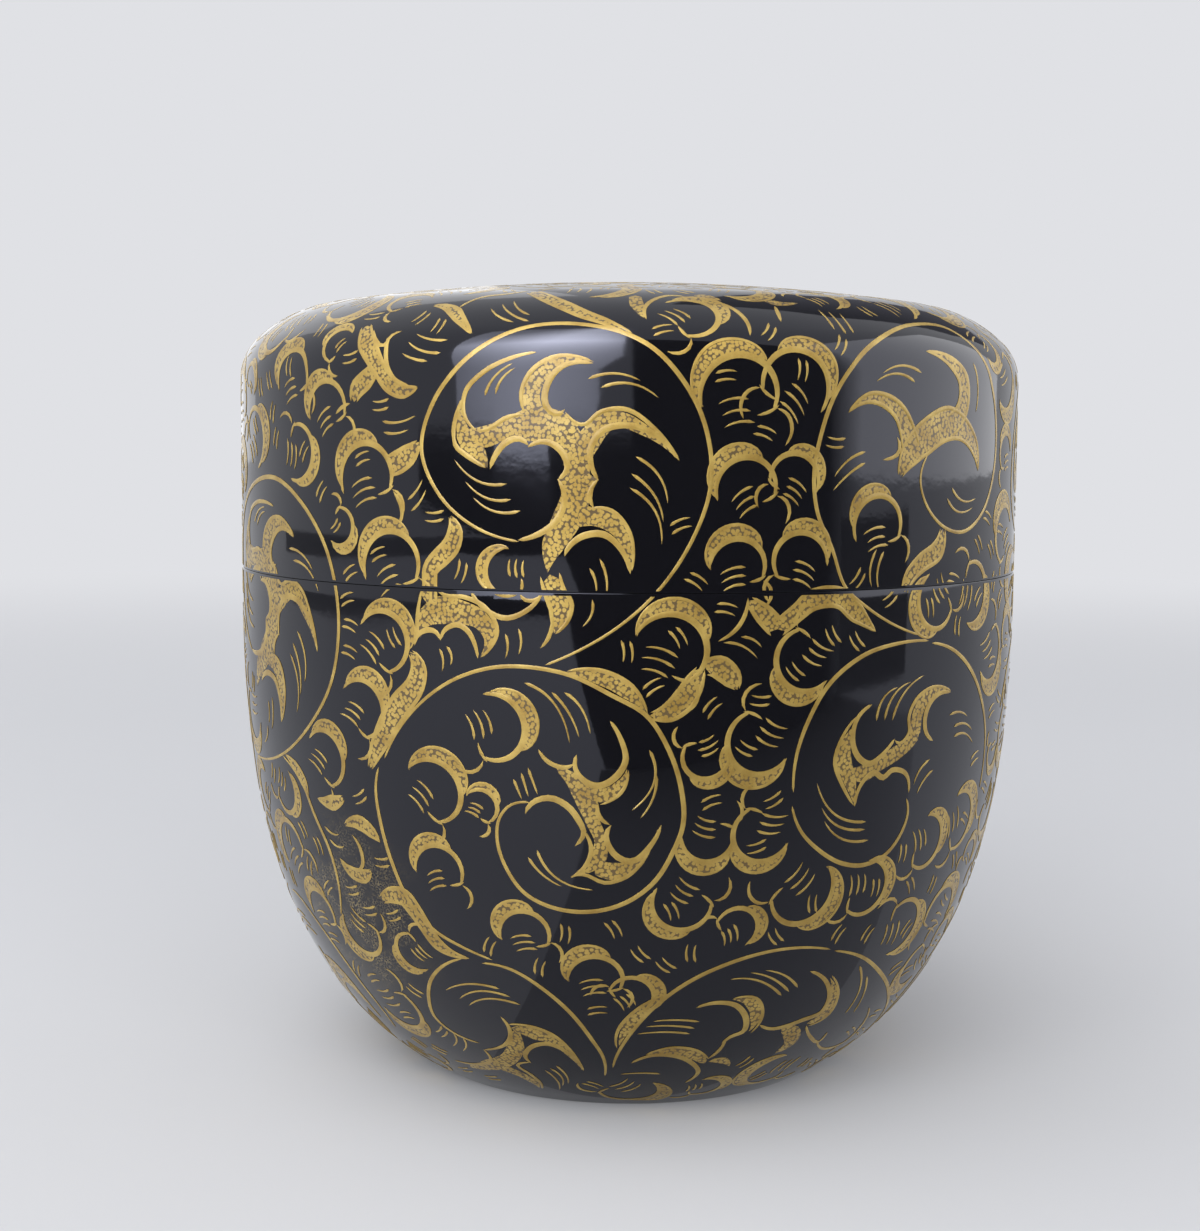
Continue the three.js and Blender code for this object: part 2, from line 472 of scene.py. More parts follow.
def lacquer(name, base, dust=False):
    """Polished black lacquer over a given undertone."""
    made, tree, output = new_material(name)
    place = node(tree, "TexCoord").outputs["Object"]
    peel = node(tree, "TexNoise", {"Vector": place, "Scale": 1 / (PEEL_SIZE * MM), "Detail": 2.0})
    ripple = node(tree, "Bump", {"Height": peel.outputs["Fac"], "Strength": 0.022, "Distance": 0.1 * MM})
    haze = node(tree, "TexNoise", {"Vector": place, "Scale": 1 / (HAZE_SIZE * MM), "Detail": 5.0})
    gloss = node(tree, "MapRange", {
        "Value": haze.outputs["Fac"], "From Min": 0.35, "From Max": 0.75, "To Min": 0.035, "To Max": 0.085,
    })
    # The faint blue of the specular tint is painted light: it stands in for the cool daylight that the
    # lacquer mirrors.
    shader = node(tree, "BsdfPrincipled", {
        "Base Color": dusted(tree, place, colour(base)) if dust else colour(base),
        "Roughness": gloss.outputs["Result"], "IOR": 1.57,
        "Specular Tint": colour("#e9ebfb"), "Normal": ripple.outputs["Normal"],
    })
    show(tree, output, shader)
    return made


outer_lacquer = lacquer("polished black lacquer", "#08080a", dust=True)
inner_lacquer = lacquer("black lacquer on turned wood", "#0b0908")

# %% [markdown]
# The body is one closed skin: up the outside from the foot, over the rim, down into the rebate that
# holds the collar, and down the bowl to its flat floor. The foot is slightly hollow underneath, so
# that only a ring of it stands on the table.

# %% Body shell
collar_low, collar_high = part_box("inner_collar")
COLLAR_OUTER = collar_high.x / MM
COLLAR_TOP = collar_high.z / MM
COLLAR_WALL = 1.4
COLLAR_INNER = COLLAR_OUTER - COLLAR_WALL
GLUE_GAP = 0.1
REBATE_RADIUS = COLLAR_OUTER + GLUE_GAP
REBATE_FLOOR = collar_low.z / MM - GLUE_GAP
FLOOR_HEIGHT = 4.4
BOWL_FLAT = 18.1
FOOT_OUTER = 17.25
FOOT_INNER = 14.8
FOOT_HOLLOW = 0.6
FOOT_ROUND = 0.25
FOOT_STEPS = [(-0.5, FOOT_HOLLOW), (0.0, FOOT_HOLLOW - 0.35), (0.2, 0.0)]


def bowl_line(steps):
    """Inside of the body, from the rebate's floor down to the flat of the bowl."""
    reach = (1 - (BOWL_FLAT / COLLAR_INNER) ** BELLY_POWER) ** (1 / BELLY_POWER)
    depth = (REBATE_FLOOR - FLOOR_HEIGHT) / reach
    angle = math.asin(reach ** (BELLY_POWER / 2)) * np.linspace(0, 1, steps)
    across = np.cos(angle) ** (2 / BELLY_POWER)
    down = np.sin(angle) ** (2 / BELLY_POWER)
    return np.stack([COLLAR_INNER * across, REBATE_FLOOR - depth * down], axis=1)


side = body_line(96)
foot_edge = rounded((FOOT_OUTER, 0.0), (FOOT_INNER, 0.0), side[0], size=FOOT_ROUND)
rim_edge = rounded(side[-1], side[-8], (REBATE_RADIUS, SEAM))
section = np.concatenate([
    [(0, FOOT_HOLLOW)], [(FOOT_INNER + out, height) for out, height in FOOT_STEPS],
    foot_edge, side[:-1], rim_edge,
    [(REBATE_RADIUS, SEAM), (REBATE_RADIUS, REBATE_FLOOR)],
    bowl_line(48), [(0, FLOOR_HEIGHT)],
])
body_shell = piece_from(spun(section, closed=False), "body_shell", outer_lacquer)
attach(body_shell, "body")
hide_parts("body_core", "body_lacquer")

# %% [markdown]
# The collar is a thin ring that stands up out of the body's mouth. The lid slides over it, so its top
# edge is rounded to lead the lid on.

# %% Collar
LEAD = 0.4
section = np.concatenate([
    [(COLLAR_INNER, collar_low.z / MM), (COLLAR_OUTER, collar_low.z / MM)],
    rounded((COLLAR_OUTER, COLLAR_TOP), (COLLAR_OUTER, SEAM), (COLLAR_INNER, COLLAR_TOP), size=LEAD),
    rounded((COLLAR_INNER, COLLAR_TOP), (COLLAR_OUTER, COLLAR_TOP), (COLLAR_INNER, SEAM), size=LEAD),
])
collar = piece_from(spun(section, closed=True), "collar", inner_lacquer)
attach(collar, "body")
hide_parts("inner_collar")

# %% [markdown]
# The lid is a shallow dome, turned hollow with a wall of even thickness. Its skin runs from the middle
# of its ceiling, down the bore, round the rim and back over the outside to the crown.

# %% Lid shell
LID_INSET = 2.5
LID_BORE = RADIUS - LID_INSET
outside = lid_line(40)
inside = lid_line(16, LID_INSET)[::-1]
section = np.concatenate([
    inside,
    rounded((LID_BORE, LID_RIM), (LID_BORE, HEIGHT), (RADIUS, LID_RIM)),
    rounded((RADIUS, LID_RIM), (LID_BORE, LID_RIM), (RADIUS, HEIGHT)),
    [(RADIUS, LID_RIM + share * (outside[0, 1] - LID_RIM)) for share in (0.25, 0.5, 0.75)],
    outside,
])
lid_shell = piece_from(spun(section, closed=False), "lid_shell", outer_lacquer)
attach(lid_shell, "lid")
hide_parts("lid_core", "lid_lacquer")

# %% [markdown]
# Gold scrolls cover the whole outside: an old arabesque of curling fronds, drawn by hand with a fine
# brush and dusted with gold. It is built from two kinds of stroke. A line is narrow, solid and
# pointed at both ends. A bed is broad and speckled, and fills the thick of a frond. A flat picture on
# the shell could show this too, but the strokes stand a few hundredths of a millimetre proud and
# catch their own light, so each one is a slim closed form laid on the turned surface.

# %% Points on the turned surface
CROWN_RUN = 20.0


def radius_at(run):
    """Radius of the outside at a distance along the profile from the seam."""
    return np.interp(run, along, outline[:, 0])


def run_at(radius):
    """Distance along the profile where the lid's crown has this radius."""
    crown = along > CROWN_RUN - 4
    return np.interp(-np.asarray(radius), -outline[crown, 0], along[crown])


def surface(angle, run, lift=0.0):
    """Points of the outside and their normals. The angle counts from the front, to the right."""
    radius, height = radius_at(run), np.interp(run, along, outline[:, 1])
    out, up = np.interp(run, along, slope[:, 1]), -np.interp(run, along, slope[:, 0])
    ring = np.stack([np.sin(angle), -np.cos(angle)], axis=-1)
    normal = np.concatenate([ring * out[..., None], up[..., None]], axis=-1)
    point = np.concatenate([ring * radius[..., None], height[..., None]], axis=-1)
    return point + normal * np.asarray(lift)[..., None], normal


def turned(points, turn, size, flip):
    """Turns, sizes and mirrors a motif's own points."""
    points = np.asarray(points, float) * [flip * size, size]
    cosine, sine = math.cos(math.radians(turn)), math.sin(math.radians(turn))
    return points @ np.array([[cosine, sine], [-sine, cosine]])


def on_side(angle, run, turn=0.0, size=1.0, flip=1):
    """A place on the wall: millimetres to the right and up become angle and run."""
    def place(points):
        across, up = turned(points, turn, size, flip).T
        return math.radians(angle) + across / radius_at(run + up), run + up
    place.size = size
    return place


def on_crown(angle, reach, turn=0.0, size=1.0, flip=1):
    """A place on the lid's crown, where the motif is laid out flat as seen from above."""
    def place(points):
        across, up = turned(points, turn, size, flip).T
        x = reach * math.sin(math.radians(angle)) + across
        y = reach * math.cos(math.radians(angle)) - up
        return np.arctan2(x, y), run_at(np.hypot(x, y))
    place.size = size
    return place


# %% [markdown]
# Every stroke starts as the same blank, a small sphere whose two poles become the pointed ends. Its
# rings are spread along the stroke's curve, its waist is pressed to a flat lens, and its underside is
# sunk into the lacquer so that no light gets beneath. A curve runs smoothly through a few points.

# %% One stroke
RING_SPACING = 0.55
RING_COUNTS = (6, 10, 16, 28, 48, 90, 160)
LINE_LIFT, LINE_CROWN = 0.022, 0.03
BED_LIFT, BED_CROWN = 0.008, 0.016
SINK = 0.08
strokes = {"lines": {}, "beds": {}}
drawn = []


def smooth(points, widths, count):
    """A curve through the points, with widths, at even spacing along its length."""
    points = np.asarray(points, float)
    knots = np.concatenate([[0.0], np.cumsum(np.linalg.norm(np.diff(points, axis=0), axis=1) ** 0.7)])
    tangents = np.gradient(points, knots, axis=0, edge_order=2 if len(points) > 2 else 1)
    fine = np.linspace(0, knots[-1], 12 * len(points))
    seg = np.clip(np.searchsorted(knots, fine, side="right") - 1, 0, len(points) - 2)
    span = (knots[seg + 1] - knots[seg])[:, None]
    s = (fine[:, None] - knots[seg][:, None]) / span
    curve = (
        (2 * s ** 3 - 3 * s ** 2 + 1) * points[seg] + (s ** 3 - 2 * s ** 2 + s) * span * tangents[seg]
        + (3 * s ** 2 - 2 * s ** 3) * points[seg + 1] + (s ** 3 - s ** 2) * span * tangents[seg + 1]
    )
    length = np.concatenate([[0.0], np.cumsum(np.linalg.norm(np.diff(curve, axis=0), axis=1))])
    even = np.linspace(0, length[-1], count + 1)
    at = np.interp(even, length, fine)
    curve = np.stack([np.interp(at, fine, curve[:, 0]), np.interp(at, fine, curve[:, 1])], axis=1)
    return curve, np.interp(at, knots, widths)


def stroke(kind, place, points, widths):
    """Adds a stroke to the drawing: its centre line on the surface and its half width."""
    gaps = np.linalg.norm(np.diff(np.asarray(points, float), axis=0), axis=1)
    wanted = 1.1 * gaps.sum() * place.size / RING_SPACING
    rings = next((n for n in RING_COUNTS if n >= wanted), RING_COUNTS[-1])
    curve, half = smooth(points, widths, rings)
    angle, run = place(curve)
    middle, normal = surface(angle, run)
    along_stroke = np.gradient(middle, axis=0)
    along_stroke /= np.linalg.norm(along_stroke, axis=1, keepdims=True) + 1e-9
    side = np.cross(along_stroke, normal)
    rise = np.stack([np.interp(run, along, slope[:, 0]), np.interp(run, along, slope[:, 1])], axis=1)
    meridian = np.stack([np.sin(angle) * rise[:, 0], -np.cos(angle) * rise[:, 0], rise[:, 1]], axis=1)
    climb = np.sum(side * meridian, axis=1)
    drawn.append(middle)
    strokes[kind].setdefault(rings, []).append((middle, side, climb, run, half))


def line(place, points, width=0.3):
    """A narrow solid line, pointed at both ends."""
    share = np.linspace(0, 1, len(points))
    swell = 1.0 - 0.55 * np.abs(2 * share - 1) ** 2
    stroke("lines", place, points, 0.5 * width * swell)


def bed(place, points, halves):
    """A broad speckled bed with its half width at each point."""
    stroke("beds", place, points, np.asarray(halves, float) * place.size)


def frond(place, points, halves, rim=0.34):
    """A bed with a solid rim along both its sides."""
    bed(place, points, halves)
    curve, half = smooth(points, halves, 3 * len(points))
    ahead = np.gradient(curve, axis=0)
    side = np.stack([-ahead[:, 1], ahead[:, 0]], axis=1)
    side *= half[:, None] / np.linalg.norm(side, axis=1, keepdims=True)
    line(place, curve + side, rim)
    line(place, curve - side, rim)


def hatch(place, *lines):
    """Short shading strokes, thick where they start."""
    for points in lines:
        stroke("lines", place, points, np.linspace(0.12, 0.05, len(points)))


# %% [markdown]
# The filler between the scrolls is one small form, repeated at many sizes: a curled lobe. A solid rim
# goes round like a breaking wave, a speckled crescent rides on its back, a little fang closes the
# stem end, and two or three shading strokes fall towards the open side.

# %% A lobe
chance = random.Random(8)


def polar(angles, radii):
    """Points by angle in degrees and radius."""
    angles = np.radians(angles)
    return np.stack([np.cos(angles) * radii, np.sin(angles) * radii], axis=1)


def lobe(place, r, strokes_inside=3, stem=True):
    """A curled lobe of radius r with its crest up, its tip to the left and its stem to the right."""
    share = np.linspace(0, 1, 9)
    start, stop = chance.uniform(-38, -22), chance.uniform(186, 204)
    rim = polar(start + (stop - start) * share, r * (1 + 0.10 * share ** 3 - 0.06 * (1 - share) ** 3))
    line(place, rim, 0.24 + 0.10 * r)
    thick = r * chance.uniform(0.36, 0.50)
    low, high = chance.uniform(40, 62), chance.uniform(180, 196)
    profile = np.sin(math.pi * share ** 0.9) ** 0.8
    back = low + (high - low) * share
    bed(place, polar(back, r * 1.04 + 0.5 * thick * profile), 0.5 * thick * profile)
    line(place, polar(back, r * 1.06 + thick * profile), 0.24)
    line(place, polar([start + 12, start - 4, start - 26], r * np.array([1.05, 0.86, 0.66])), 0.26)
    if stem:
        line(place, r * np.array([(0.93, -0.42), (1.22, -0.62), (1.30, -0.98), (1.08, -1.38)]), 0.3)
    lean = chance.uniform(2, 28)
    for index in range(strokes_inside):
        middle = np.array([-0.22 + 0.06 * index, -0.16 - 0.30 * index]) * r
        length = r * chance.uniform(0.75, 1.0)
        bow = np.array([[0.5, 0.0], [0.0, 0.10], [-0.5, 0.0]]) * length
        hatch(place, middle + turned(bow, lean, 1.0, 1))


# %% [markdown]
# The large motifs are drawn in their own millimetres about their middle, as a painter would plan
# them: outline first, then the speckled spine with its horns, then the rims of the bays between
# them, then the shading. The curl is the one that the lid shows in front.


# %% The curl
def curl(place):
    """A scroll that winds in on a spine with three horns."""
    line(place, [
        (-1.2, -16.0), (5.6, -11.9), (9.1, -7.3), (10.6, -2.7), (9.7, 2.2), (6.5, 6.4), (2.5, 8.3),
        (-2.0, 8.5), (-6.6, 6.2), (-9.9, 2.5), (-10.8, -0.8), (-9.3, -4.0), (-6.5, -6.2), (-3.1, -7.2),
    ], 0.36)
    bed(place, [(-1.0, -9.4), (-0.7, -7.6), (0.3, -5.7), (1.0, -3.9), (1.1, -2.1), (0.7, -0.4),
                (-0.5, 1.0)],
        [0, 0.9, 1.2, 1.2, 1.0, 1.2, 1.2])
    bed(place, [(0.9, 0.2), (-0.5, 1.0), (-2.3, 1.1), (-4.0, 0.8), (-5.8, 0.2), (-7.1, 0.3), (-7.8, 0.7)],
        [0.9, 1.3, 1.4, 0.8, 0.9, 0.6, 0])
    bed(place, [(-7.9, 0.6), (-7.0, -0.3), (-6.2, -0.9), (-5.5, -2.0)], [0.2, 0.8, 0.7, 0.1])
    bed(place, [(-7.2, 0.2), (-7.6, 1.5), (-7.35, 2.6)], [0.7, 0.35, 0.1])
    line(place, [(-8.0, -0.5), (-8.15, 0.6), (-7.9, 1.8), (-7.4, 3.0)], 0.36)
    bed(place, [(0.9, -5.3), (2.4, -5.4), (3.6, -5.8), (4.6, -7.1), (4.9, -9.4)], [1.0, 0.7, 0.8, 0.5, 0])
    bed(place, [(1.4, -1.8), (1.9, 0.0), (3.6, 1.5), (5.9, 0.7), (8.2, -1.3)], [0.7, 1.0, 0.7, 0.45, 0])
    bed(place, [(-1.8, 1.4), (-2.3, 3.2), (-1.7, 4.6), (-0.1, 5.5), (2.2, 5.4)], [0.9, 0.8, 0.7, 0.5, 0])
    bed(place, [(-0.35, -2.75), (0.3, -2.8), (1.1, -2.75), (2.0, -2.8), (2.65, -2.75)],
        [0, 0.45, 0.5, 0.45, 0])
    line(place, [(-6.3, 0.6), (-7.3, 1.8), (-7.2, 3.4), (-5.8, 4.8), (-3.7, 5.8), (-1.9, 6.2)], 0.36)
    line(place, [(-5.3, -2.1), (-4.9, -1.1), (-4.0, -0.1), (-3.1, 0.1), (-2.4, -0.4)], 0.5)
    line(place, [(-2.5, -0.5), (-1.2, -0.1), (-0.1, -0.7), (0.4, -1.8), (-0.3, -2.8)], 0.5)
    line(place, [(-0.3, -2.7), (0.2, -4.2), (-0.4, -5.7), (-1.6, -6.6), (-3.2, -7.1)], 0.5)
    line(place, [(8.2, -1.3), (6.6, 0.4), (4.5, 1.1), (2.7, 0.6), (2.0, -0.7), (2.1, -1.8),
                 (2.6, -2.8)], 0.5)
    line(place, [(2.6, -2.7), (2.0, -3.7), (2.3, -4.8)], 0.4)
    line(place, [(4.9, -9.4), (4.2, -7.6), (3.0, -6.6), (1.6, -6.7), (0.6, -7.4), (0.2, -8.2)], 0.5)
    line(place, [(2.0, -4.8), (3.5, -4.9), (4.8, -6.4), (5.0, -9.2)], 0.32)
    line(place, [(0.2, 2.0), (1.5, 1.1), (2.7, 2.0), (4.5, 2.2), (6.6, 0.8), (8.3, -1.4)], 0.34)
    line(place, [(2.2, 5.4), (0.0, 5.2), (-1.1, 3.9), (-1.2, 2.5), (-0.4, 1.8), (0.2, 2.2)], 0.5)
    line(place, [(2.2, 5.5), (-0.5, 5.9), (-2.3, 4.8), (-3.0, 3.2), (-2.7, 1.9)], 0.34)
    line(place, [(-2.7, 1.8), (-4.0, 1.6), (-5.4, 0.8), (-6.3, 0.6)], 0.36)
    line(place, [(-8.1, 0.4), (-8.0, -0.4), (-7.0, -1.2), (-5.6, -2.0)], 0.4)
    hatch(place, [(-4.0, -3.1), (-6.1, -3.0), (-8.1, -1.4)], [(-3.7, -4.2), (-5.4, -4.2), (-7.2, -3.0)],
          [(-3.0, -5.0), (-4.9, -5.1), (-6.6, -4.1)])
    hatch(place, [(5.2, -1.1), (6.9, -2.5), (7.5, -4.4)], [(4.9, -2.3), (6.6, -3.9), (7.2, -5.7)],
          [(4.8, -3.3), (6.6, -4.9), (7.1, -7.3)])
    hatch(place, [(1.8, 4.3), (3.7, 4.7), (5.5, 4.2)], [(2.7, 3.7), (4.8, 4.0), (6.8, 3.0)])
    hatch(place, [(-5.7, 3.1), (-5.1, 4.3), (-3.6, 5.4)], [(-4.9, 3.2), (-4.5, 4.2), (-3.4, 5.1)])
    hatch(place, [(2.0, -9.0), (2.4, -9.8), (2.5, -10.8)], [(2.7, -8.3), (3.2, -9.6), (3.2, -11.0)],
          [(2.2, -11.2), (2.2, -12.2), (1.5, -13.2)])


# %% [markdown]
# The body's large scroll winds in twice, the next is rounder with a branching spine, and the lid's
# right-hand one closes low down. They are of one family, so a painter could swap them about.

# %% The double curl
def double_curl(place):
    """A scroll that winds in twice, with lobes between its two outlines."""
    line(place, [
        (-12.4, 0.7), (-11.0, 3.0), (-8.7, 5.4), (-5.9, 7.2), (-2.4, 8.2), (2.4, 7.8), (5.7, 6.3),
        (8.1, 4.9),
        (9.7, 2.4), (10.6, -0.6), (10.7, -3.1), (9.9, -5.3), (8.4, -7.7), (6.1, -9.4), (3.4, -10.1),
        (0.8, -9.8), (-1.1, -8.8), (-2.4, -6.9), (-3.0, -4.8), (-2.8, -3.1), (-1.9, -2.0), (-0.4, -1.7),
    ], 0.36)
    line(place, [(-13.0, 0.0), (-13.4, -1.7), (-13.1, -4.4), (-12.4, -7.1), (-10.7, -10.9), (-8.8, -12.8),
                 (-6.6, -13.9), (-4.1, -14.8)], 0.36)
    bed(place, [(2.4, 7.9), (4.6, 7.6), (6.7, 6.6), (8.1, 5.0)], [0, 0.55, 0.6, 0])
    line(place, [(2.4, 8.0), (4.9, 8.1), (7.1, 7.0), (8.2, 5.0)], 0.34)
    line(place, [(-0.8, -2.6), (-0.2, -1.7), (1.1, -1.3), (2.4, -1.9), (3.2, -3.0), (3.5, -3.8),
                 (2.8, -4.9)], 0.5)
    bed(place, [(1.6, 1.0), (3.3, -0.5), (3.8, -1.6), (4.1, -2.8), (4.7, -4.5), (4.4, -5.8), (2.6, -7.2)],
        [0.2, 0.9, 0.9, 0.6, 0.5, 0.8, 0.1])
    bed(place, [(3.4, -0.7), (5.0, -1.0), (6.2, -0.2), (6.7, 1.0)], [0.5, 0.6, 0.4, 0])
    bed(place, [(4.2, -6.4), (5.8, -6.8), (7.2, -6.2), (8.4, -4.8)], [0.7, 0.8, 0.5, 0])
    line(place, [(3.1, 2.0), (3.0, 0.9), (3.7, 0.0), (4.6, -0.3), (5.8, 0.3), (6.6, 1.6), (6.3, 3.1),
                 (5.5, 4.5)], 0.5)
    line(place, [(6.8, 0.9), (6.3, -0.7), (4.7, -1.7)], 0.3)
    line(place, [(4.6, -1.6), (4.6, -2.5), (5.4, -3.2)], 0.4)
    line(place, [(5.5, -3.2), (5.1, -4.1), (5.8, -5.6), (6.9, -6.0), (8.2, -4.9), (9.1, -3.2)], 0.5)
    line(place, [(8.2, -5.2), (7.3, -6.5), (6.5, -7.2), (4.9, -7.7), (3.4, -7.1), (2.4, -7.3)], 0.32)
    line(place, [(3.4, -3.6), (4.0, -5.0), (3.6, -6.3), (2.4, -7.4)], 0.36)
    line(place, [(0.3, 2.3), (1.0, 1.4), (2.2, 1.0), (2.9, 1.3)], 0.36)
    hatch(place, [(-0.7, 7.1), (1.3, 5.9), (2.6, 2.8)], [(1.3, 6.5), (2.5, 5.1), (3.3, 3.2)],
          [(2.2, 6.5), (3.3, 5.6), (4.1, 3.5)])
    hatch(place, [(8.3, 2.4), (8.7, 0.3), (7.0, -2.1)], [(8.8, 0.6), (8.6, -1.0), (7.6, -2.7)])
    hatch(place, [(-0.7, -5.9), (0.3, -7.2), (1.7, -8.1)], [(0.0, -5.3), (1.3, -7.4), (4.0, -8.3)])
    hatch(place, [(-1.6, 0.0), (-1.0, -1.5)], [(-1.0, 0.5), (-0.5, -1.3)], [(-0.5, 0.9), (0.2, -1.1)])


# %% The open curl
def open_curl(place):
    """A rounder scroll with a branching spine, as on the body's right."""
    line(place, [(3.6, 8.8), (0.1, 8.8), (-3.2, 8.1), (-6.1, 6.2), (-7.8, 3.5), (-8.6, 0.9),
                 (-8.6, -1.8)], 0.36)
    line(place, [(-8.6, -2.8), (-7.7, -4.7), (-5.9, -6.4), (-3.6, -7.7), (-1.4, -8.1), (0.8, -7.5),
                 (2.2, -5.9),
                 (2.6, -4.4), (2.2, -3.2)], 0.36)
    line(place, [(4.0, 8.6), (6.8, 7.9), (9.8, 6.1), (12.3, 3.4), (13.8, 0.5), (14.0, -4.0)], 0.36)
    bed(place, [(-3.1, -3.3), (-3.7, -1.4), (-4.5, 0.3), (-4.4, 1.7), (-3.9, 2.8)], [0, 0.6, 0.8, 0.5, 0])
    bed(place, [(-4.2, -0.6), (-2.6, -0.8), (-1.0, -0.2), (0.4, 0.4), (1.9, 1.1), (3.0, 1.9)],
        [0.4, 0.8, 0.6, 0.7, 0.6, 0.4])
    bed(place, [(2.6, 1.4), (2.6, 2.9), (3.1, 4.1), (4.4, 4.8), (6.8, 4.6)], [0.7, 0.7, 0.7, 0.4, 0])
    line(place, [(-2.2, 4.4), (-3.6, 3.3), (-3.8, 1.6), (-3.1, 0.4), (-2.0, -0.1), (-1.0, 0.4),
                 (0.3, 1.6)], 0.5)
    line(place, [(6.8, 4.6), (4.6, 4.4), (3.7, 3.4), (3.7, 2.0), (4.8, 1.0)], 0.5)
    line(place, [(0.3, 1.5), (0.9, 1.2), (1.8, 1.9), (1.7, 3.2), (2.4, 4.4), (4.2, 5.2), (6.8, 4.7)], 0.34)
    line(place, [(-3.1, -3.3), (-2.7, -1.6), (-1.6, -0.8), (-0.6, -1.3), (0.3, -0.8), (1.9, -1.3),
                 (2.4, -2.8)], 0.46)
    line(place, [(-3.2, -3.2), (-4.4, -1.6), (-5.3, 0.3), (-4.9, 1.9), (-3.6, 3.6)], 0.36)
    hatch(place, [(-1.8, -4.6), (-4.9, -3.7), (-6.7, -1.2)], [(-1.8, -5.2), (-4.6, -4.6), (-6.1, -3.1)],
          [(-1.3, -6.1), (-4.0, -5.7), (-5.7, -4.2)])
    hatch(place, [(-1.7, 3.1), (-1.1, 4.8), (0.3, 5.5)], [(-0.9, 3.1), (0.0, 5.0), (1.7, 5.8)],
          [(-0.1, 3.0), (1.0, 5.0), (3.2, 6.2)])
    hatch(place, [(6.8, 2.8), (8.3, 2.9), (9.7, 2.4)], [(7.6, 1.8), (9.2, 1.9), (10.7, 1.2)],
          [(7.7, 1.0), (9.3, 1.1), (11.1, 0.1)])
    hatch(place, [(4.6, -0.4), (3.4, -1.2), (2.9, -2.2)], [(5.2, -1.3), (4.2, -1.9), (3.4, -3.0)])


# %% The side curl
def side_curl(place):
    """A scroll that closes low down, with its spine lying across it, as on the lid's right."""
    line(place, [
        (-1.0, -14.8), (-4.0, -13.8), (-6.6, -12.4), (-8.5, -10.9), (-9.7, -8.1), (-11.0, -5.4),
        (-11.3, -2.7),
        (-10.7, 0.4), (-9.6, 3.1), (-7.6, 5.6), (-4.5, 7.5), (-0.3, 9.0), (4.1, 9.0), (6.6, 7.1),
        (8.5, 4.8),
        (10.0, 1.6), (10.0, -2.1), (8.1, -5.4), (4.5, -7.2), (1.5, -6.7), (-0.6, -5.0), (-1.3, -3.1),
        (-0.5, -1.3),
    ], 0.36)
    frond(place, [(-3.5, -2.9), (-2.6, -1.4), (-0.9, -0.1), (1.9, 1.0), (4.3, 0.5), (6.0, -0.9),
                  (6.6, -2.6)],
          [0.2, 0.9, 1.2, 1.2, 0.8, 0.5, 0])
    frond(place, [(-2.4, -0.9), (-2.9, 0.6), (-3.6, 1.7), (-4.8, 2.5), (-6.6, 2.8), (-8.5, 1.7)],
          [0.9, 0.7, 0.55, 0.45, 0.3, 0])
    frond(place, [(2.1, 0.8), (4.0, 2.4), (4.0, 4.2), (2.4, 5.6), (-0.5, 6.4)], [0.8, 0.7, 0.6, 0.4, 0])
    frond(place, [(1.5, -6.9), (1.0, -8.4), (-1.0, -9.4), (-2.3, -10.4), (-2.8, -11.5)],
          [0.3, 0.7, 0.6, 0.5, 0.3])
    line(place, [(-3.9, 0.0), (-3.6, -1.0), (-5.3, -1.7)], 0.4)
    hatch(place, [(-2.1, 4.0), (-4.0, 4.6), (-6.0, 4.0)], [(-1.4, 4.7), (-3.5, 5.2), (-5.4, 4.6)])
    hatch(place, [(2.0, -4.6), (3.3, -5.6), (5.8, -5.4)], [(2.6, -3.8), (4.0, -4.8), (6.3, -4.7)])
    hatch(place, [(-6.9, -1.1), (-8.4, -1.7), (-9.6, -2.9)], [(-6.9, -1.9), (-8.2, -2.6), (-9.7, -3.9)])
    hatch(place, [(5.6, 5.7), (6.3, 3.7), (6.0, 1.9)], [(-5.7, -8.2), (-6.3, -9.8), (-6.1, -11.0)],
          [(-5.0, -8.4), (-5.6, -10.0), (-5.4, -11.3)])


# %% [markdown]
# Between the scrolls run branches of speckled gold. They tie the scrolls together, cross the seam, and
# split into claws where they meet an outline.


# %% Branches between the scrolls
def lid_branch(place):
    """A forked branch between the left scroll and the curl, with a wedge below it."""
    frond(place, [(-2.3, 3.9), (-1.4, 2.3), (-0.4, 1.1), (0.4, 0.1), (1.3, -0.9), (2.5, -1.4), (3.8, -1.2)],
          [0.4, 0.7, 0.6, 0.5, 0.55, 0.5, 0])
    frond(place, [(0.0, 0.3), (-1.0, -0.6), (-1.9, -1.3), (-2.2, -2.2)], [0.4, 0.6, 0.6, 0.3])
    frond(place, [(1.1, -6.9), (2.0, -6.6), (3.0, -6.0), (3.9, -5.1)], [0.7, 0.75, 0.65, 0.2])
    line(place, [(1.6, 3.2), (0.7, 2.6), (0.8, 1.4), (1.2, 0.1), (2.2, -0.9), (3.8, -1.1)], 0.4)
    line(place, [(-1.2, 3.4), (-0.5, 2.4), (0.3, 1.9), (0.6, 2.4)], 0.36)
    line(place, [(-2.6, -2.3), (-3.5, -2.6), (-4.2, -3.1)], 0.34)
    line(place, [(1.6, -8.7), (2.1, -9.3), (2.4, -10.2), (2.2, -11.1)], 0.36)
    hatch(place, [(5.9, 2.3), (4.3, 2.4), (3.0, 2.9)], [(5.6, 1.3), (3.9, 1.5), (2.6, 2.2)],
          [(4.6, 0.7), (3.3, 0.9), (2.3, 1.3)])
    hatch(place, [(0.6, -3.6), (2.0, -3.7), (3.6, -3.2)], [(0.7, -4.4), (1.8, -4.5), (3.0, -4.2)])
    hatch(place, [(2.9, -9.3), (3.6, -8.7), (4.2, -7.8)], [(3.2, -10.1), (3.9, -9.5), (4.5, -8.5)])


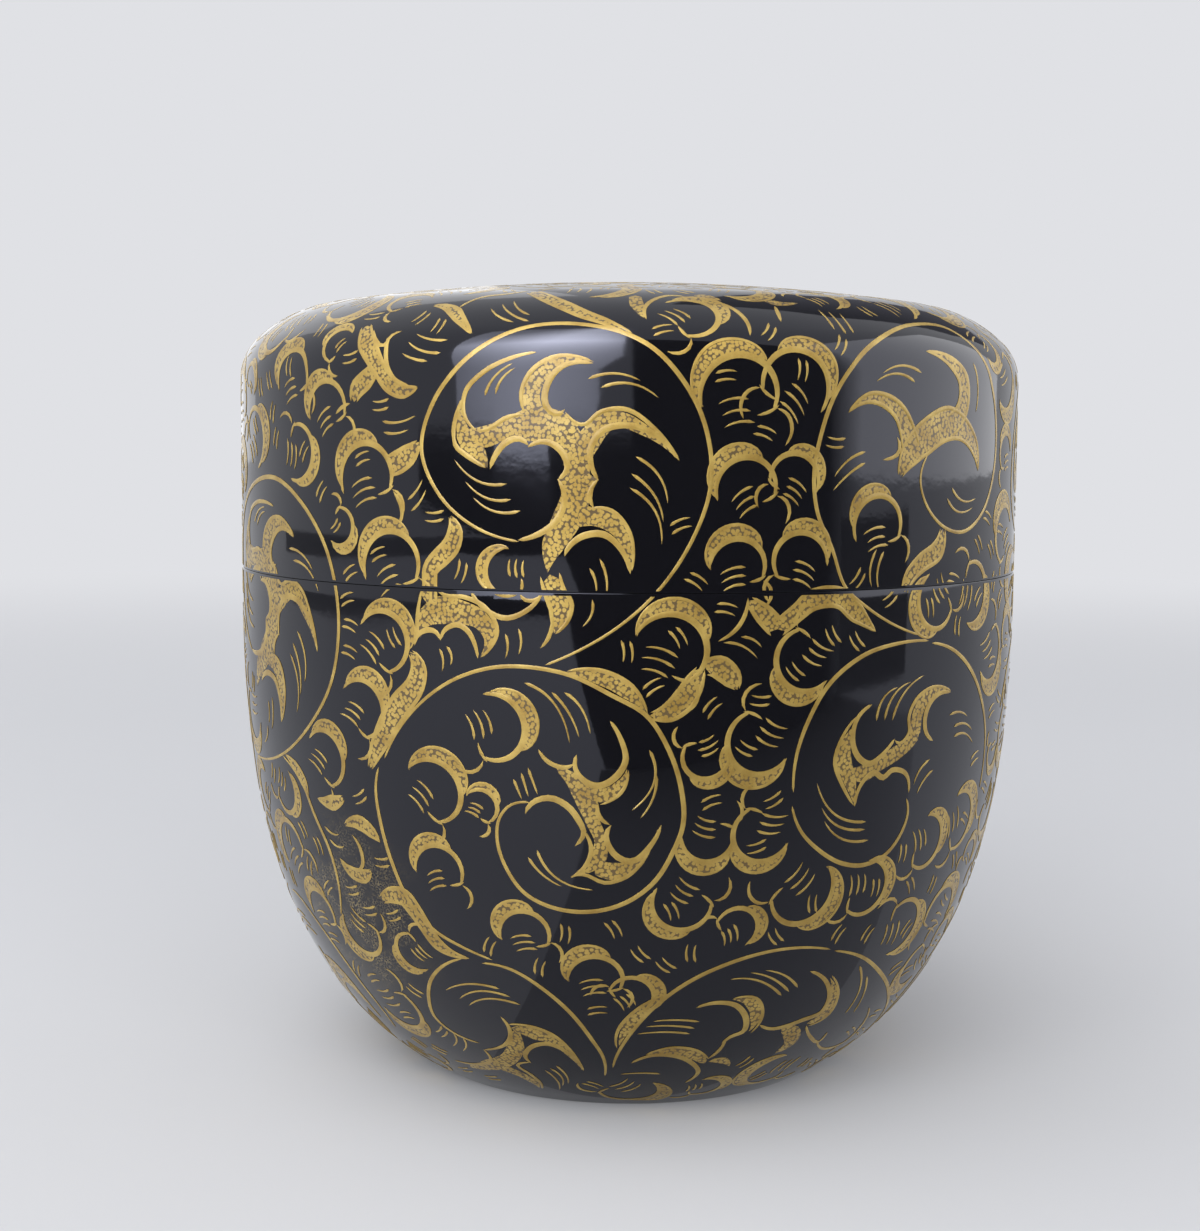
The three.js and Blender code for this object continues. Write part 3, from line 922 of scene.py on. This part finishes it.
def seam_branch(place):
    """The branch that crosses the seam left of the middle, spreads below it and follows the double curl."""
    frond(place, [(1.7, 5.2), (2.1, 4.2), (1.8, 3.1), (0.9, 2.2), (0.1, 1.4), (0.0, 0.0), (-0.2, -1.2)],
          [0.1, 0.5, 0.6, 0.6, 0.5, 0.5, 0.8])
    bed(place, [(-0.8, -3.7), (-0.4, -2.3), (1.0, -1.6), (2.6, -1.7), (4.1, -2.2), (4.8, -3.3),
                (4.1, -4.8)],
        [0.1, 0.8, 1.2, 1.0, 0.8, 0.6, 0])
    line(place, [(0.6, -0.1), (1.3, -0.5), (2.9, -0.6), (4.5, -1.3), (5.4, -2.9), (5.0, -4.0),
                 (4.1, -4.9)], 0.36)
    line(place, [(-0.7, -0.4), (-1.0, -1.8), (-1.1, -3.2), (-1.3, -4.3)], 0.36)
    line(place, [(-1.3, -4.3), (-1.0, -3.5), (-0.2, -3.1), (0.5, -3.2), (0.9, -3.8)], 0.42)
    line(place, [(0.9, -3.8), (1.3, -3.0), (2.3, -2.6), (3.1, -3.0), (3.6, -3.8), (3.9, -5.0)], 0.42)
    line(place, [(3.3, 0.0), (4.1, -1.1), (6.0, -2.0), (8.0, -1.1), (8.9, 0.3)], 0.4)
    frond(place, [(9.3, 1.2), (9.7, -0.2), (10.1, -1.0), (10.0, -2.0), (9.6, -3.0)],
          [0.7, 0.7, 0.8, 0.6, 0.1])
    line(place, [(9.4, -2.2), (9.3, -3.1), (8.6, -4.1)], 0.34)
    frond(place, [(-1.7, -4.8), (-1.0, -5.9), (-1.3, -7.2), (-2.6, -8.7), (-3.8, -10.2), (-4.9, -12.0),
                  (-5.9, -13.9)],
          [0.2, 0.6, 0.7, 0.85, 0.8, 0.65, 0.2])
    hatch(place, [(0.8, -4.4), (1.1, -5.2), (1.0, -6.1)], [(1.4, -4.2), (1.8, -4.9), (1.7, -5.6)])
    hatch(place, [(6.0, -3.1), (6.2, -4.0), (6.0, -4.9)], [(7.0, -2.7), (7.2, -3.6), (7.0, -4.6)])


def middle_branch(place):
    """The beds that zigzag below the seam, right of the middle."""
    frond(place, [(-3.5, -5.4), (-2.2, -5.2), (-1.1, -4.3), (-0.4, -3.1), (0.1, -2.0)],
          [0.2, 0.6, 0.75, 0.65, 0.3])
    frond(place, [(0.4, -2.0), (1.5, -2.0), (2.4, -2.8), (2.8, -3.6)], [0.5, 0.75, 0.65, 0.15])
    line(place, [(1.3, -0.1), (2.6, 0.7), (3.3, 1.8), (3.5, 3.0)], 0.34)
    frond(place, [(3.6, 2.8), (4.7, 1.8), (5.8, 0.7)], [0.3, 0.6, 0.7])
    frond(place, [(5.8, 0.7), (7.4, 1.9), (8.5, 2.7), (10.9, 2.8), (12.3, 1.7), (14.2, 0.2)],
          [0.6, 0.55, 0.65, 0.65, 0.65, 0])
    hatch(place, [(1.7, -0.2), (3.0, -0.4), (4.3, -1.4)], [(3.0, 0.2), (3.9, 0.0), (4.6, -0.6)])


def stem_branch(place):
    """The stem at the body's left, with small claws between it and the double curl."""
    line(place, [(-4.2, 4.2), (-1.2, 2.3), (0.0, 0.0), (1.3, -2.7), (1.5, -5.2), (0.5, -8.4)], 0.36)
    frond(place, [(-3.7, 4.4), (-1.9, 3.5), (-0.9, 2.4), (-0.5, 1.5)], [0, 0.4, 0.4, 0], rim=0.26)
    frond(place, [(0.8, 1.5), (2.7, 1.4), (4.2, 2.0)], [0, 0.5, 0.2])
    frond(place, [(3.9, -0.2), (5.7, 0.2), (6.9, -0.4), (7.6, -1.1)], [0.1, 0.5, 0.4, 0])
    frond(place, [(2.5, -3.1), (3.6, -4.1), (5.0, -4.2), (6.0, -3.6)], [0, 0.4, 0.5, 0.1])
    line(place, [(4.6, -0.9), (5.3, -2.0), (5.2, -3.2), (4.2, -4.0)], 0.4)
    hatch(place, [(1.2, -0.7), (2.2, -1.2), (3.0, -1.1)], [(1.6, -1.7), (2.6, -2.2), (3.4, -2.0)])


def low_branch(place):
    """The bed under the double curl's outline, down to the small leaf."""
    frond(place, [(-1.8, 0.1), (-0.6, 0.7), (0.6, 0.7), (1.4, -0.3), (2.0, -1.4), (3.0, -3.1), (5.4, -3.9)],
          [0.3, 0.6, 0.7, 0.6, 0.5, 0.45, 0])


# %% [markdown]
# Two leaves spring from one point at the foot and open like a fan, with horned spines of their own.


# %% The two leaves of the lower body
def small_leaf(place):
    """A leaf that leans left, with one forked spine."""
    line(place, [(-2.8, 4.2), (-0.5, 3.9), (1.9, 2.2), (3.7, -0.1), (4.8, -2.8), (5.3, -5.0),
                 (4.9, -7.8)], 0.36)
    line(place, [(-4.4, 4.4), (-6.2, 3.5), (-7.8, 1.7), (-8.4, -0.1), (-8.4, -2.3), (-7.0, -3.9),
                 (-4.7, -4.7)], 0.34)
    hatch(place, [(-1.7, 1.9), (-4.3, 2.0), (-6.5, 1.0)], [(-0.9, 1.2), (-3.6, 1.4), (-5.4, 0.3)],
          [(-0.2, 0.5), (-3.1, 0.7), (-4.7, -0.3)])
    line(place, [(-2.1, -1.0), (-1.6, -2.4), (-2.1, -4.0), (-4.6, -5.6)], 0.4)
    bed(place, [(-1.5, -2.2), (0.4, -2.6), (1.8, -3.3), (2.8, -4.8), (3.3, -7.1)], [0.3, 0.8, 0.6, 0.4, 0])
    bed(place, [(-1.2, -2.4), (-1.5, -4.4), (-2.6, -6.4), (-4.5, -7.9), (-7.0, -9.2)],
        [0.4, 0.8, 0.8, 0.9, 0.3])
    bed(place, [(-4.0, -7.9), (-2.5, -8.6), (-1.4, -9.9), (-1.2, -11.4)], [0.7, 0.6, 0.5, 0])
    line(place, [(-1.6, -1.8), (0.4, -1.8), (1.9, -2.6), (2.9, -4.3), (3.4, -7.1)], 0.36)
    line(place, [(3.4, -6.9), (2.6, -4.6), (1.3, -3.7), (0.0, -4.1), (-1.0, -5.7), (-0.7, -6.6)], 0.46)
    line(place, [(-0.8, -6.5), (-2.0, -7.2), (-1.2, -8.6), (-0.8, -9.9), (-1.0, -11.4)], 0.36)
    line(place, [(-4.6, -5.5), (-4.3, -7.0), (-5.8, -8.2), (-8.4, -8.6)], 0.36)
    hatch(place, [(0.2, -7.5), (0.8, -9.0), (0.5, -11.2)], [(0.7, -7.1), (1.3, -8.1), (1.0, -10.2)],
          [(1.3, -6.6), (1.8, -8.0), (1.6, -9.6)])
    hatch(place, [(-7.0, -4.0), (-6.9, -4.8), (-7.7, -6.0)], [(-6.2, -4.4), (-6.1, -5.2), (-6.8, -6.4)])


def large_leaf(place):
    """A leaf that leans right, with three horns along its spine."""
    line(place, [(-10.7, -7.5), (-10.8, -4.6), (-9.5, -0.5), (-7.3, 2.1), (-3.9, 3.9), (-0.1, 4.6),
                 (4.2, 4.0)], 0.36)
    line(place, [(4.6, 3.8), (7.7, 2.7), (10.5, 0.7), (13.4, -2.2), (15.5, -5.9), (15.2, -9.0)], 0.36)
    bed(place, [(-11.0, -4.6), (-10.9, -2.4), (-10.0, -0.5), (-8.6, 1.0)], [0, 0.5, 0.6, 0])
    line(place, [(-11.1, -4.8), (-11.5, -2.4), (-10.4, -0.2), (-8.6, 1.1)], 0.3)
    line(place, [(-6.1, -0.4), (-4.7, 0.0), (-3.0, -0.4), (-1.7, -2.1), (-1.6, -3.4), (-2.5, -3.9),
                 (-3.0, -4.7)], 0.5)
    bed(place, [(-3.4, 0.2), (-1.7, -0.4), (-0.9, -2.0), (-1.1, -3.5)], [0, 0.55, 0.6, 0])
    line(place, [(-3.4, 0.3), (-1.4, 0.1), (-0.4, -2.0), (-0.9, -3.7)], 0.3)
    line(place, [(2.7, 2.2), (4.5, 1.0), (5.5, -1.0), (5.2, -2.5), (3.6, -3.0), (2.2, -3.4), (0.9, -3.5),
                 (-0.4, -2.8)], 0.5)
    bed(place, [(4.9, 1.2), (5.9, -0.9), (5.7, -2.7), (4.2, -3.6)], [0, 0.5, 0.6, 0.2])
    line(place, [(5.0, 1.4), (6.4, -0.9), (6.2, -3.0), (4.4, -3.9)], 0.3)
    bed(place, [(1.8, -3.6), (3.0, -4.4), (3.4, -5.6), (2.4, -6.9)], [0.4, 0.9, 0.8, 0.2])
    line(place, [(4.2, -3.8), (5.3, -5.5), (6.7, -6.6), (7.1, -5.4)], 0.36)
    line(place, [(6.4, -6.4), (8.4, -8.3), (11.1, -8.3), (12.1, -5.8), (11.4, -3.6)], 0.36)
    line(place, [(-9.5, -6.8), (-8.3, -5.8), (-6.4, -5.9), (-4.7, -7.0), (-3.7, -8.6), (-4.2, -10.3)], 0.46)
    bed(place, [(-8.7, -5.7), (-6.8, -5.3), (-4.9, -5.9), (-3.6, -7.2)], [0, 0.5, 0.7, 0.3])
    line(place, [(-8.7, -5.6), (-7.0, -4.8), (-5.0, -5.2), (-3.5, -6.6)], 0.3)
    line(place, [(-2.8, -4.1), (-3.0, -5.6), (-3.6, -6.6)], 0.36)
    bed(place, [(-3.4, -7.0), (-2.2, -7.0), (-1.3, -8.0)], [0.2, 0.5, 0.1])
    hatch(place, [(0.7, 0.1), (-2.0, 2.0), (-4.0, 2.2)], [(1.3, 0.4), (-0.8, 2.1), (-2.5, 2.7)],
          [(2.0, 0.7), (0.5, 2.1), (-1.3, 2.8)])
    hatch(place, [(-5.5, -1.9), (-7.5, -1.6), (-9.1, -1.7)], [(-5.7, -2.6), (-7.9, -2.2), (-9.5, -2.3)],
          [(-5.9, -3.2), (-8.1, -2.9), (-10.0, -3.1)])
    hatch(place, [(-6.7, -8.5), (-8.3, -8.3), (-9.8, -8.5)], [(7.8, 1.8), (8.8, -1.0), (8.2, -3.4)],
          [(9.1, 0.5), (9.6, -1.4), (9.3, -3.6)])


# %% [markdown]
# Over the shoulder the pattern goes on to the crown. From the front it is seen almost edge-on, so a
# stem, some hooks and an arc are all that shows of it.


# %% Strokes on the front of the crown
def crown_branch(place):
    """A stem that runs up over the shoulder from the curl, with hooks and an arc to its right."""
    frond(place, [(-3.4, 3.6), (-1.8, 1.8), (-0.4, 0.6), (1.1, -0.5), (2.6, -1.3), (4.7, -2.6)],
          [0.5, 0.5, 0.45, 0.36, 0.25, 0.1])
    frond(place, [(-10.9, 1.0), (-9.8, 0.8), (-8.9, 0.1), (-8.3, -0.8), (-7.6, -1.7), (-7.0, -2.5)],
          [0.1, 0.3, 0.45, 0.35, 0.2, 0.05])
    line(place, [(-8.6, 0.5), (-7.0, 2.4), (-5.1, 3.1), (-3.7, 3.9)], 0.36)
    bed(place, [(4.4, 2.5), (4.7, 0.8), (5.4, -0.9)], [0.5, 0.6, 0.1])
    line(place, [(5.6, -1.1), (5.4, 0.8), (6.7, 2.5), (8.0, 2.3)], 0.36)
    bed(place, [(8.6, 2.7), (9.6, 2.4), (10.8, 1.6)], [0.2, 0.5, 0.1])
    line(place, [(9.0, 2.1), (10.6, 1.3), (12.1, 0.0), (13.0, -1.5), (13.2, -2.6)], 0.36)
    bed(place, [(14.0, 2.2), (15.0, 1.5), (16.8, 1.6)], [0.3, 0.5, 0.1])
    line(place, [(14.9, 1.0), (15.2, 0.0), (15.5, -1.1)], 0.36)
    hatch(place, [(-3.9, -1.4), (-5.3, -0.6), (-6.0, 0.4)], [(-2.8, -1.3), (-4.4, -0.3), (-5.2, 1.0)],
          [(-2.8, -0.6), (-3.8, 0.2), (-4.4, 1.5)])
    hatch(place, [(19.9, -1.8), (19.3, -0.6), (18.5, 0.6)], [(20.9, -2.2), (20.2, -0.9), (19.4, 0.4)],
          [(21.6, -2.1), (21.0, -0.9), (20.4, 0.2)])


# %% [markdown]
# Now the drawing is laid out. Each motif has an angle from the front and a distance from the seam. The
# front follows the caddy's own layout. The same half turn is repeated behind, so the pattern closes
# on itself, and three curls share the crown.

# %% Laying out the motifs
clear = []


def keep_clear(place, a, b, reach):
    """Marks a round of a motif's ground that the filler stays out of."""
    spot, _ = surface(*place(np.array([[a, b]])))
    clear.append((spot[0], reach * place.size))


def scroll(motif, place, rounds):
    """Draws a motif and keeps its ground clear."""
    motif(place)
    for a, b, reach in rounds:
        keep_clear(place, a, b, reach)


CURL_GROUND = [(0, 0.2, 10.3), (3.5, -8.5, 5.5), (3.0, -12.0, 2.6)]
DOUBLE_GROUND = [(0.5, -0.8, 10.3), (-6.5, -1.5, 8.0), (-6.0, -7.0, 6.6)]
SIDE_GROUND = [(0, 1.0, 9.6), (-5.5, -5.5, 5.0), (-1.0, -8.5, 4.0)]
OPEN_GROUND = [(-0.5, 0.4, 8.6), (5.5, 2.5, 7.0), (7.0, -1.0, 4.5)]
SMALL_LEAF_GROUND = [(-2.0, -0.5, 6.2), (1.5, -5.0, 4.6), (-2.5, -7.5, 4.5)]
LARGE_LEAF_GROUND = [(-4.5, -2.0, 6.5), (1.5, -1.0, 6.6), (7.0, -3.0, 5.6), (-6.0, -7.0, 4.0)]
CROWN_GROUND = [
    (-8.5, 1.5, 2.6), (-4.0, 1.0, 2.8), (1.0, 0.5, 2.6), (6.0, 1.0, 2.6), (11.0, 0.8, 2.8),
    (16.0, 0.5, 2.8), (20.0, 0.0, 2.4),
]

LOBES = [
    (34, 4.7, 2.2, 95, 1), (14, 14.1, 2.8, 95, 1), (21, 14.8, 2.6, 70, -1), (15, 7.5, 2.2, 100, 1),
    (21, 8.1, 1.9, 75, -1),
    (14, 1.9, 2.0, 85, 1), (22, 2.2, 2.1, 90, -1),
    (5.6, -4.1, 2.6, 60, 1), (23, -4.8, 2.3, -140, 1),
    (17, -10.7, 2.4, -130, 1), (18, -17.6, 2.2, -120, 1), (10, -11.7, 1.7, -86, 1),
    (11, -17.8, 1.9, -87, -1),
    (8, -23.0, 2.2, -110, -1), (25, -22.7, 2.6, -55, 1), (36, -23.1, 2.2, -10, 1), (1, -31.0, 1.7, 40, -1),
    (-43, 13.0, 2.1, 100, 1), (-35.6, 8.0, 2.5, 95, 1), (-31.5, 1.6, 2.5, 95, 1), (-51, 15.4, 2.2, 95, 1),
    (-33, -4.2, 2.3, 40, 1), (-37, -9.4, 2.2, 41, 1),
    (-45, -13.7, 2.2, 35, 1), (-44, -27.9, 2.1, -105, -1),
    (-14, -25.8, 1.9, 96, 1), (-4, -29.5, 2.0, 90, 1), (-17, -10.0, 2.4, 5, 1), (-26, -15.1, 2.4, 40, 1),
    (-19, -15.9, 1.3, 45, 1), (-26, -21.2, 2.0, 85, 1),
]

for half_turn in (0, 180):
    scroll(curl, on_side(half_turn - 8.1, 10.8), CURL_GROUND)
    scroll(double_curl, on_side(half_turn - 11.6, -13.6), DOUBLE_GROUND)
    scroll(side_curl, on_side(half_turn + 43.5, 11.2), SIDE_GROUND)
    scroll(open_curl, on_side(half_turn + 37.4, -12.9), OPEN_GROUND)
    scroll(curl, on_side(half_turn - 58, -1.0, turn=-22), CURL_GROUND)
    scroll(small_leaf, on_side(half_turn - 16, -33), SMALL_LEAF_GROUND)
    scroll(large_leaf, on_side(half_turn + 24, -32), LARGE_LEAF_GROUND)
    scroll(curl, on_side(half_turn + 84, 9.5, turn=20, size=0.75), CURL_GROUND)
    scroll(open_curl, on_side(half_turn + 91, -14, turn=-30, size=0.9, flip=-1), OPEN_GROUND)
    scroll(small_leaf, on_side(half_turn + 76, -32, flip=-1), SMALL_LEAF_GROUND)
    scroll(small_leaf, on_side(half_turn - 62, -31), SMALL_LEAF_GROUND)
    scroll(crown_branch, on_side(half_turn - 8, 21), CROWN_GROUND)
    lid_branch(on_side(half_turn - 34, 15.7))
    seam_branch(on_side(half_turn - 25.7, 0.1))
    middle_branch(on_side(half_turn + 9.1, -3.3))
    stem_branch(on_side(half_turn - 49.4, -18.5))
    low_branch(on_side(half_turn - 34, -24.6))
    for angle, run, r, crest, hand in LOBES:
        lobe(on_side(half_turn + angle, run, turn=crest - 90, flip=hand), r)
for third in (60, 180, 300):
    scroll(curl, on_crown(third, 13.5, turn=third + 40, size=0.82), CURL_GROUND)
print(len(drawn), "strokes in the large motifs and the placed lobes")

# %% [markdown]
# What is still bare is filled with lobes, large ones first. A lobe goes in where it keeps its distance
# from every stroke already drawn. It turns its back on the nearest scroll and leans over, so that the
# open side faces that scroll, as the painter's fronds do. Pairs of short shading strokes go into the
# last small gaps.

# %% Filling the gaps
FILL_SIZES = (2.5, 2.25, 2.0, 1.75, 1.5)
FILL_STEP = 0.5
FOOT_MARGIN = 2.5
FILL_ROOM, FILL_APART, FILL_SHARE = 1.28, 2.35, 0.95
FLICK_ROOM, FLICK_APART = 1.1, 2.0
fill_spots = []
for run in np.arange(along[0] + FOOT_MARGIN, along[-1] - 1.5, FILL_STEP):
    count = max(int(2 * math.pi * radius_at(run) / FILL_STEP), 1)
    fill_spots += [(2 * math.pi * (i + chance.random()) / count, run) for i in range(count)]
chance.shuffle(fill_spots)
fill_spots = np.array(fill_spots)
fill_points = surface(fill_spots[:, 0], fill_spots[:, 1])[0]
scroll_spots = np.array([spot for spot, reach in clear])
scroll_reach = np.array([reach for spot, reach in clear])
gaps = np.linalg.norm(fill_points[:, None] - scroll_spots[None], axis=2) - scroll_reach
free = np.min(gaps, axis=1) > 0
fill_spots, fill_points, nearest = fill_spots[free], fill_points[free], np.argmin(gaps[free], axis=1)


def away_from_scroll(index):
    """Direction from the nearest scroll to a spot, in degrees on the unrolled surface."""
    angle, run = fill_spots[index]
    away = fill_points[index] - scroll_spots[nearest[index]]
    right = np.array([math.cos(angle), math.sin(angle), 0.0])
    up = np.cross(surface(np.array([angle]), np.array([run]))[1][0], right)
    return math.degrees(math.atan2(away @ up, away @ right))


def filler_place(index, crest, hand):
    """Where a filler lobe goes: on the wall, or on the crown as seen from above."""
    angle, run = math.degrees(fill_spots[index][0]), fill_spots[index][1]
    if run < CROWN_RUN + 3:
        return on_side(angle, run, turn=crest - 90, flip=hand)
    return on_crown(angle, radius_at(run), turn=crest - 90 + angle, flip=hand)


def room_at_spots():
    """Distance from every spot to the nearest stroke drawn so far."""
    points = np.concatenate(drawn)
    search = kdtree.KDTree(len(points))
    for index, point in enumerate(points):
        search.insert(point, index)
    search.balance()
    return np.array([search.find(point)[2] for point in fill_points])


def crowded(placed, spot, apart):
    """Whether something was already placed too close to a spot."""
    return len(placed) > 0 and np.min(np.linalg.norm(placed - spot, axis=1)) < apart


for r in FILL_SIZES:
    placed = np.zeros((0, 3))
    for index in np.nonzero(room_at_spots() > FILL_ROOM * r)[0]:
        spot = fill_points[index]
        if crowded(placed, spot, FILL_APART * r):
            continue
        hand = 1 if nearest[index] % 2 else -1
        crest = away_from_scroll(index) + hand * chance.uniform(45, 80)
        lobe(filler_place(index, crest, hand), FILL_SHARE * r, strokes_inside=3 if r > 1.6 else 2)
        placed = np.vstack([placed, spot])
    print("lobes of", r, "mm:", len(placed))

placed = np.zeros((0, 3))
for index in np.nonzero(room_at_spots() >= FLICK_ROOM)[0]:
    spot = fill_points[index]
    if crowded(placed, spot, FLICK_APART):
        continue
    place = filler_place(index, away_from_scroll(index) + 90 + chance.uniform(-25, 25), 1)
    flick = np.array([(-0.8, 0.0), (0.0, 0.14), (0.8, 0.0)])
    hatch(place, flick + (0, 0.3), flick - (0.1, 0.3))
    placed = np.vstack([placed, spot])
print("loose shading:", len(placed), "pairs,", len(drawn), "strokes in all")

# %% [markdown]
# Gold powder set in lacquer is metal, but not a mirror: the grains lie every way, so it glows softly
# and evenly. The lines are nearly solid gold with a little change of tone where the powder lies
# thicker, under a thin clear coat. In the beds the powder lies in small pebbles, about 0.3 mm across,
# with dark lacquer in the gaps between them, and that speckle is what tells a bed from a line. The
# pebbles follow each stroke, so they are laid out in millimetres along and across it.

# %% Gold and speckled gold
FLAT = "flat"
SHEEN = 0.8
GRAIN_SIZE = 0.12
TONE_SIZE = 1.6
PEBBLE_SIZE = 0.30


def gold_powder(name, pebbled):
    """Gold powder in lacquer, with dark gaps between pebbles for the beds."""
    made, tree, output = new_material(name)
    place = node(tree, "TexCoord").outputs["Object"]
    tone = node(tree, "TexNoise", {"Vector": place, "Scale": 1 / (TONE_SIZE * MM), "Detail": 3.0})
    gold = node(tree, "ValToRGB", {"Fac": tone.outputs["Fac"]})
    gold.color_ramp.elements[0].position = 0.3
    gold.color_ramp.elements[0].color = colour("#977b39")
    gold.color_ramp.elements[1].position = 0.7
    gold.color_ramp.elements[1].color = colour("#bba157")
    grain = node(tree, "TexNoise", {"Vector": place, "Scale": 1 / (GRAIN_SIZE * MM), "Detail": 2.0})
    rough = node(tree, "MapRange", {
        "Value": grain.outputs["Fac"], "From Min": 0.3, "From Max": 0.7, "To Min": 0.54, "To Max": 0.70,
    })
    bump = node(tree, "Bump", {"Height": grain.outputs["Fac"], "Strength": 0.25, "Distance": 0.02 * MM})
    sockets = {
        "Base Color": gold.outputs["Color"], "Metallic": SHEEN, "Roughness": rough.outputs["Result"],
        "Normal": bump.outputs["Normal"],
        "Coat Weight": 0.6, "Coat Roughness": 0.12, "Coat IOR": 1.5,
    }
    if pebbled:
        flat = node(tree, "Attribute", attribute_name=FLAT)
        pebble = node(tree, "TexVoronoi", {
            "Vector": flat.outputs["Vector"], "Scale": 1 / PEBBLE_SIZE, "Randomness": 0.8,
        }, voronoi_dimensions="2D")
        mask = node(tree, "MapRange", {
            "Value": pebble.outputs["Distance"], "From Min": 0.56, "From Max": 0.40,
        })
        gaps = node(tree, "Mix", {"Factor": mask.outputs["Result"]}, data_type="RGBA")
        gaps.inputs["A"].default_value = colour("#463512")
        tree.links.new(gold.outputs["Color"], gaps.inputs["B"])
        sockets["Base Color"] = gaps.outputs["Result"]
        sheen = node(tree, "Math", {0: mask.outputs["Result"], 1: SHEEN}, operation="MULTIPLY")
        sockets["Metallic"] = sheen.outputs[0]
    show(tree, output, node(tree, "BsdfPrincipled", sockets))
    return made


line_gold = gold_powder("gold powder in lacquer", pebbled=False)
bed_gold = gold_powder("speckled gold powder in lacquer", pebbled=True)

# %% [markdown]
# Now the strokes become meshes. All strokes with the same number of rings share one blank, and each
# copy is moved onto its own curve. On the crown the gold lies flatter, because there it is seen at a
# low angle and tall strokes would glitter. Each vertex also keeps its place along and across its
# stroke, for the pebbles.

# %% From strokes to meshes
STROKE_SHIFT = 7.3
CROWN_RELIEF, CROWN_EASE = 0.3, 6.0


def blanks(rings, sides, count):
    """A mesh of equal small spheres, all in one place, and the vertices of one."""
    bm = bmesh.new()
    bmesh.ops.create_uvsphere(bm, u_segments=sides, v_segments=rings, radius=1.0)
    mesh = bpy.data.meshes.new("blank")
    bm.to_mesh(mesh)
    bm.free()
    sphere = np.array([vert.co for vert in mesh.vertices])
    bm = bmesh.new()
    for _ in range(count):
        bm.from_mesh(mesh)
    bm.to_mesh(mesh)
    bm.free()
    mesh.attributes.new(FLAT, "FLOAT_VECTOR", "POINT")
    return mesh, sphere


def laid_strokes(kind, lift, crown, sides):
    """All strokes of a kind, each a blank drawn out along its curve and pressed to a lens."""
    bm = bmesh.new()
    for rings, group in sorted(strokes[kind].items()):
        mesh, sphere = blanks(rings, sides, len(group))
        ring = np.rint(np.arccos(np.clip(sphere[:, 2], -1, 1)) / math.pi * rings).astype(int)
        waist = np.hypot(sphere[:, 0], sphere[:, 1])
        across, tall = (sphere[:, :2] / np.maximum(waist, 1e-3)[:, None]).T
        height = lift + np.where(tall > 0, crown, SINK + lift) * tall
        points, flat = [], []
        for index, (middle, side, climb, run, half) in enumerate(group):
            offset = half[ring] * across
            length = np.cumsum(np.linalg.norm(np.diff(middle, axis=0, prepend=middle[:1]), axis=1))
            flat.append(np.stack([length[ring] + STROKE_SHIFT * index, offset, 0 * offset], axis=1))
            moved = middle[ring] + side[ring] * offset[:, None]
            flat_run = run_at(np.hypot(moved[:, 0], moved[:, 1]))
            new_run = np.where(run[ring] > CROWN_RUN, flat_run, run[ring] + offset * climb[ring])
            relief = np.interp(new_run, (CROWN_RUN - CROWN_EASE, CROWN_RUN), (1.0, CROWN_RELIEF))
            stand = np.where(height > 0, height * relief, height)
            points.append(surface(np.arctan2(moved[:, 0], -moved[:, 1]), new_run, stand)[0])
        mesh.vertices.foreach_set("co", (np.concatenate(points) * MM).ravel())
        mesh.attributes[FLAT].data.foreach_set("vector", np.concatenate(flat).ravel())
        bm.from_mesh(mesh)
        bpy.data.meshes.remove(mesh)
    print(kind, len(bm.faces), "faces")
    return bm


# %% [markdown]
# Lid and body come apart, so no stroke may cross the seam in one piece. The drawing is cut by two
# level planes, one just above the seam and one just below it, and the cut ends are closed.

# %% Cutting the drawing at the seam
SEAM_MARGIN = 0.2
SHARP = math.radians(50)


def cut_off(bm, height, above):
    """The part of the drawing above or below a height, with closed ends."""
    part = bm.copy()
    everything = part.verts[:] + part.edges[:] + part.faces[:]
    bmesh.ops.bisect_plane(
        part, geom=everything, plane_co=(0, 0, height * MM), plane_no=(0, 0, 1),
        clear_inner=above, clear_outer=not above,
    )
    bmesh.ops.holes_fill(part, edges=[edge for edge in part.edges if edge.is_boundary], sides=0)
    return part


for kind, lift, crown, sides, material in (
    ("lines", LINE_LIFT, LINE_CROWN, 4, line_gold), ("beds", BED_LIFT, BED_CROWN, 6, bed_gold),
):
    whole = laid_strokes(kind, lift, crown, sides)
    for owner, height, above in (("lid", SEAM + SEAM_MARGIN, True), ("body", SEAM - SEAM_MARGIN, False)):
        gold = piece_from(cut_off(whole, height, above), owner + "_gold_" + kind, material)
        gold.data.set_sharp_from_angle(angle=SHARP)
        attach(gold, owner)
    whole.free()
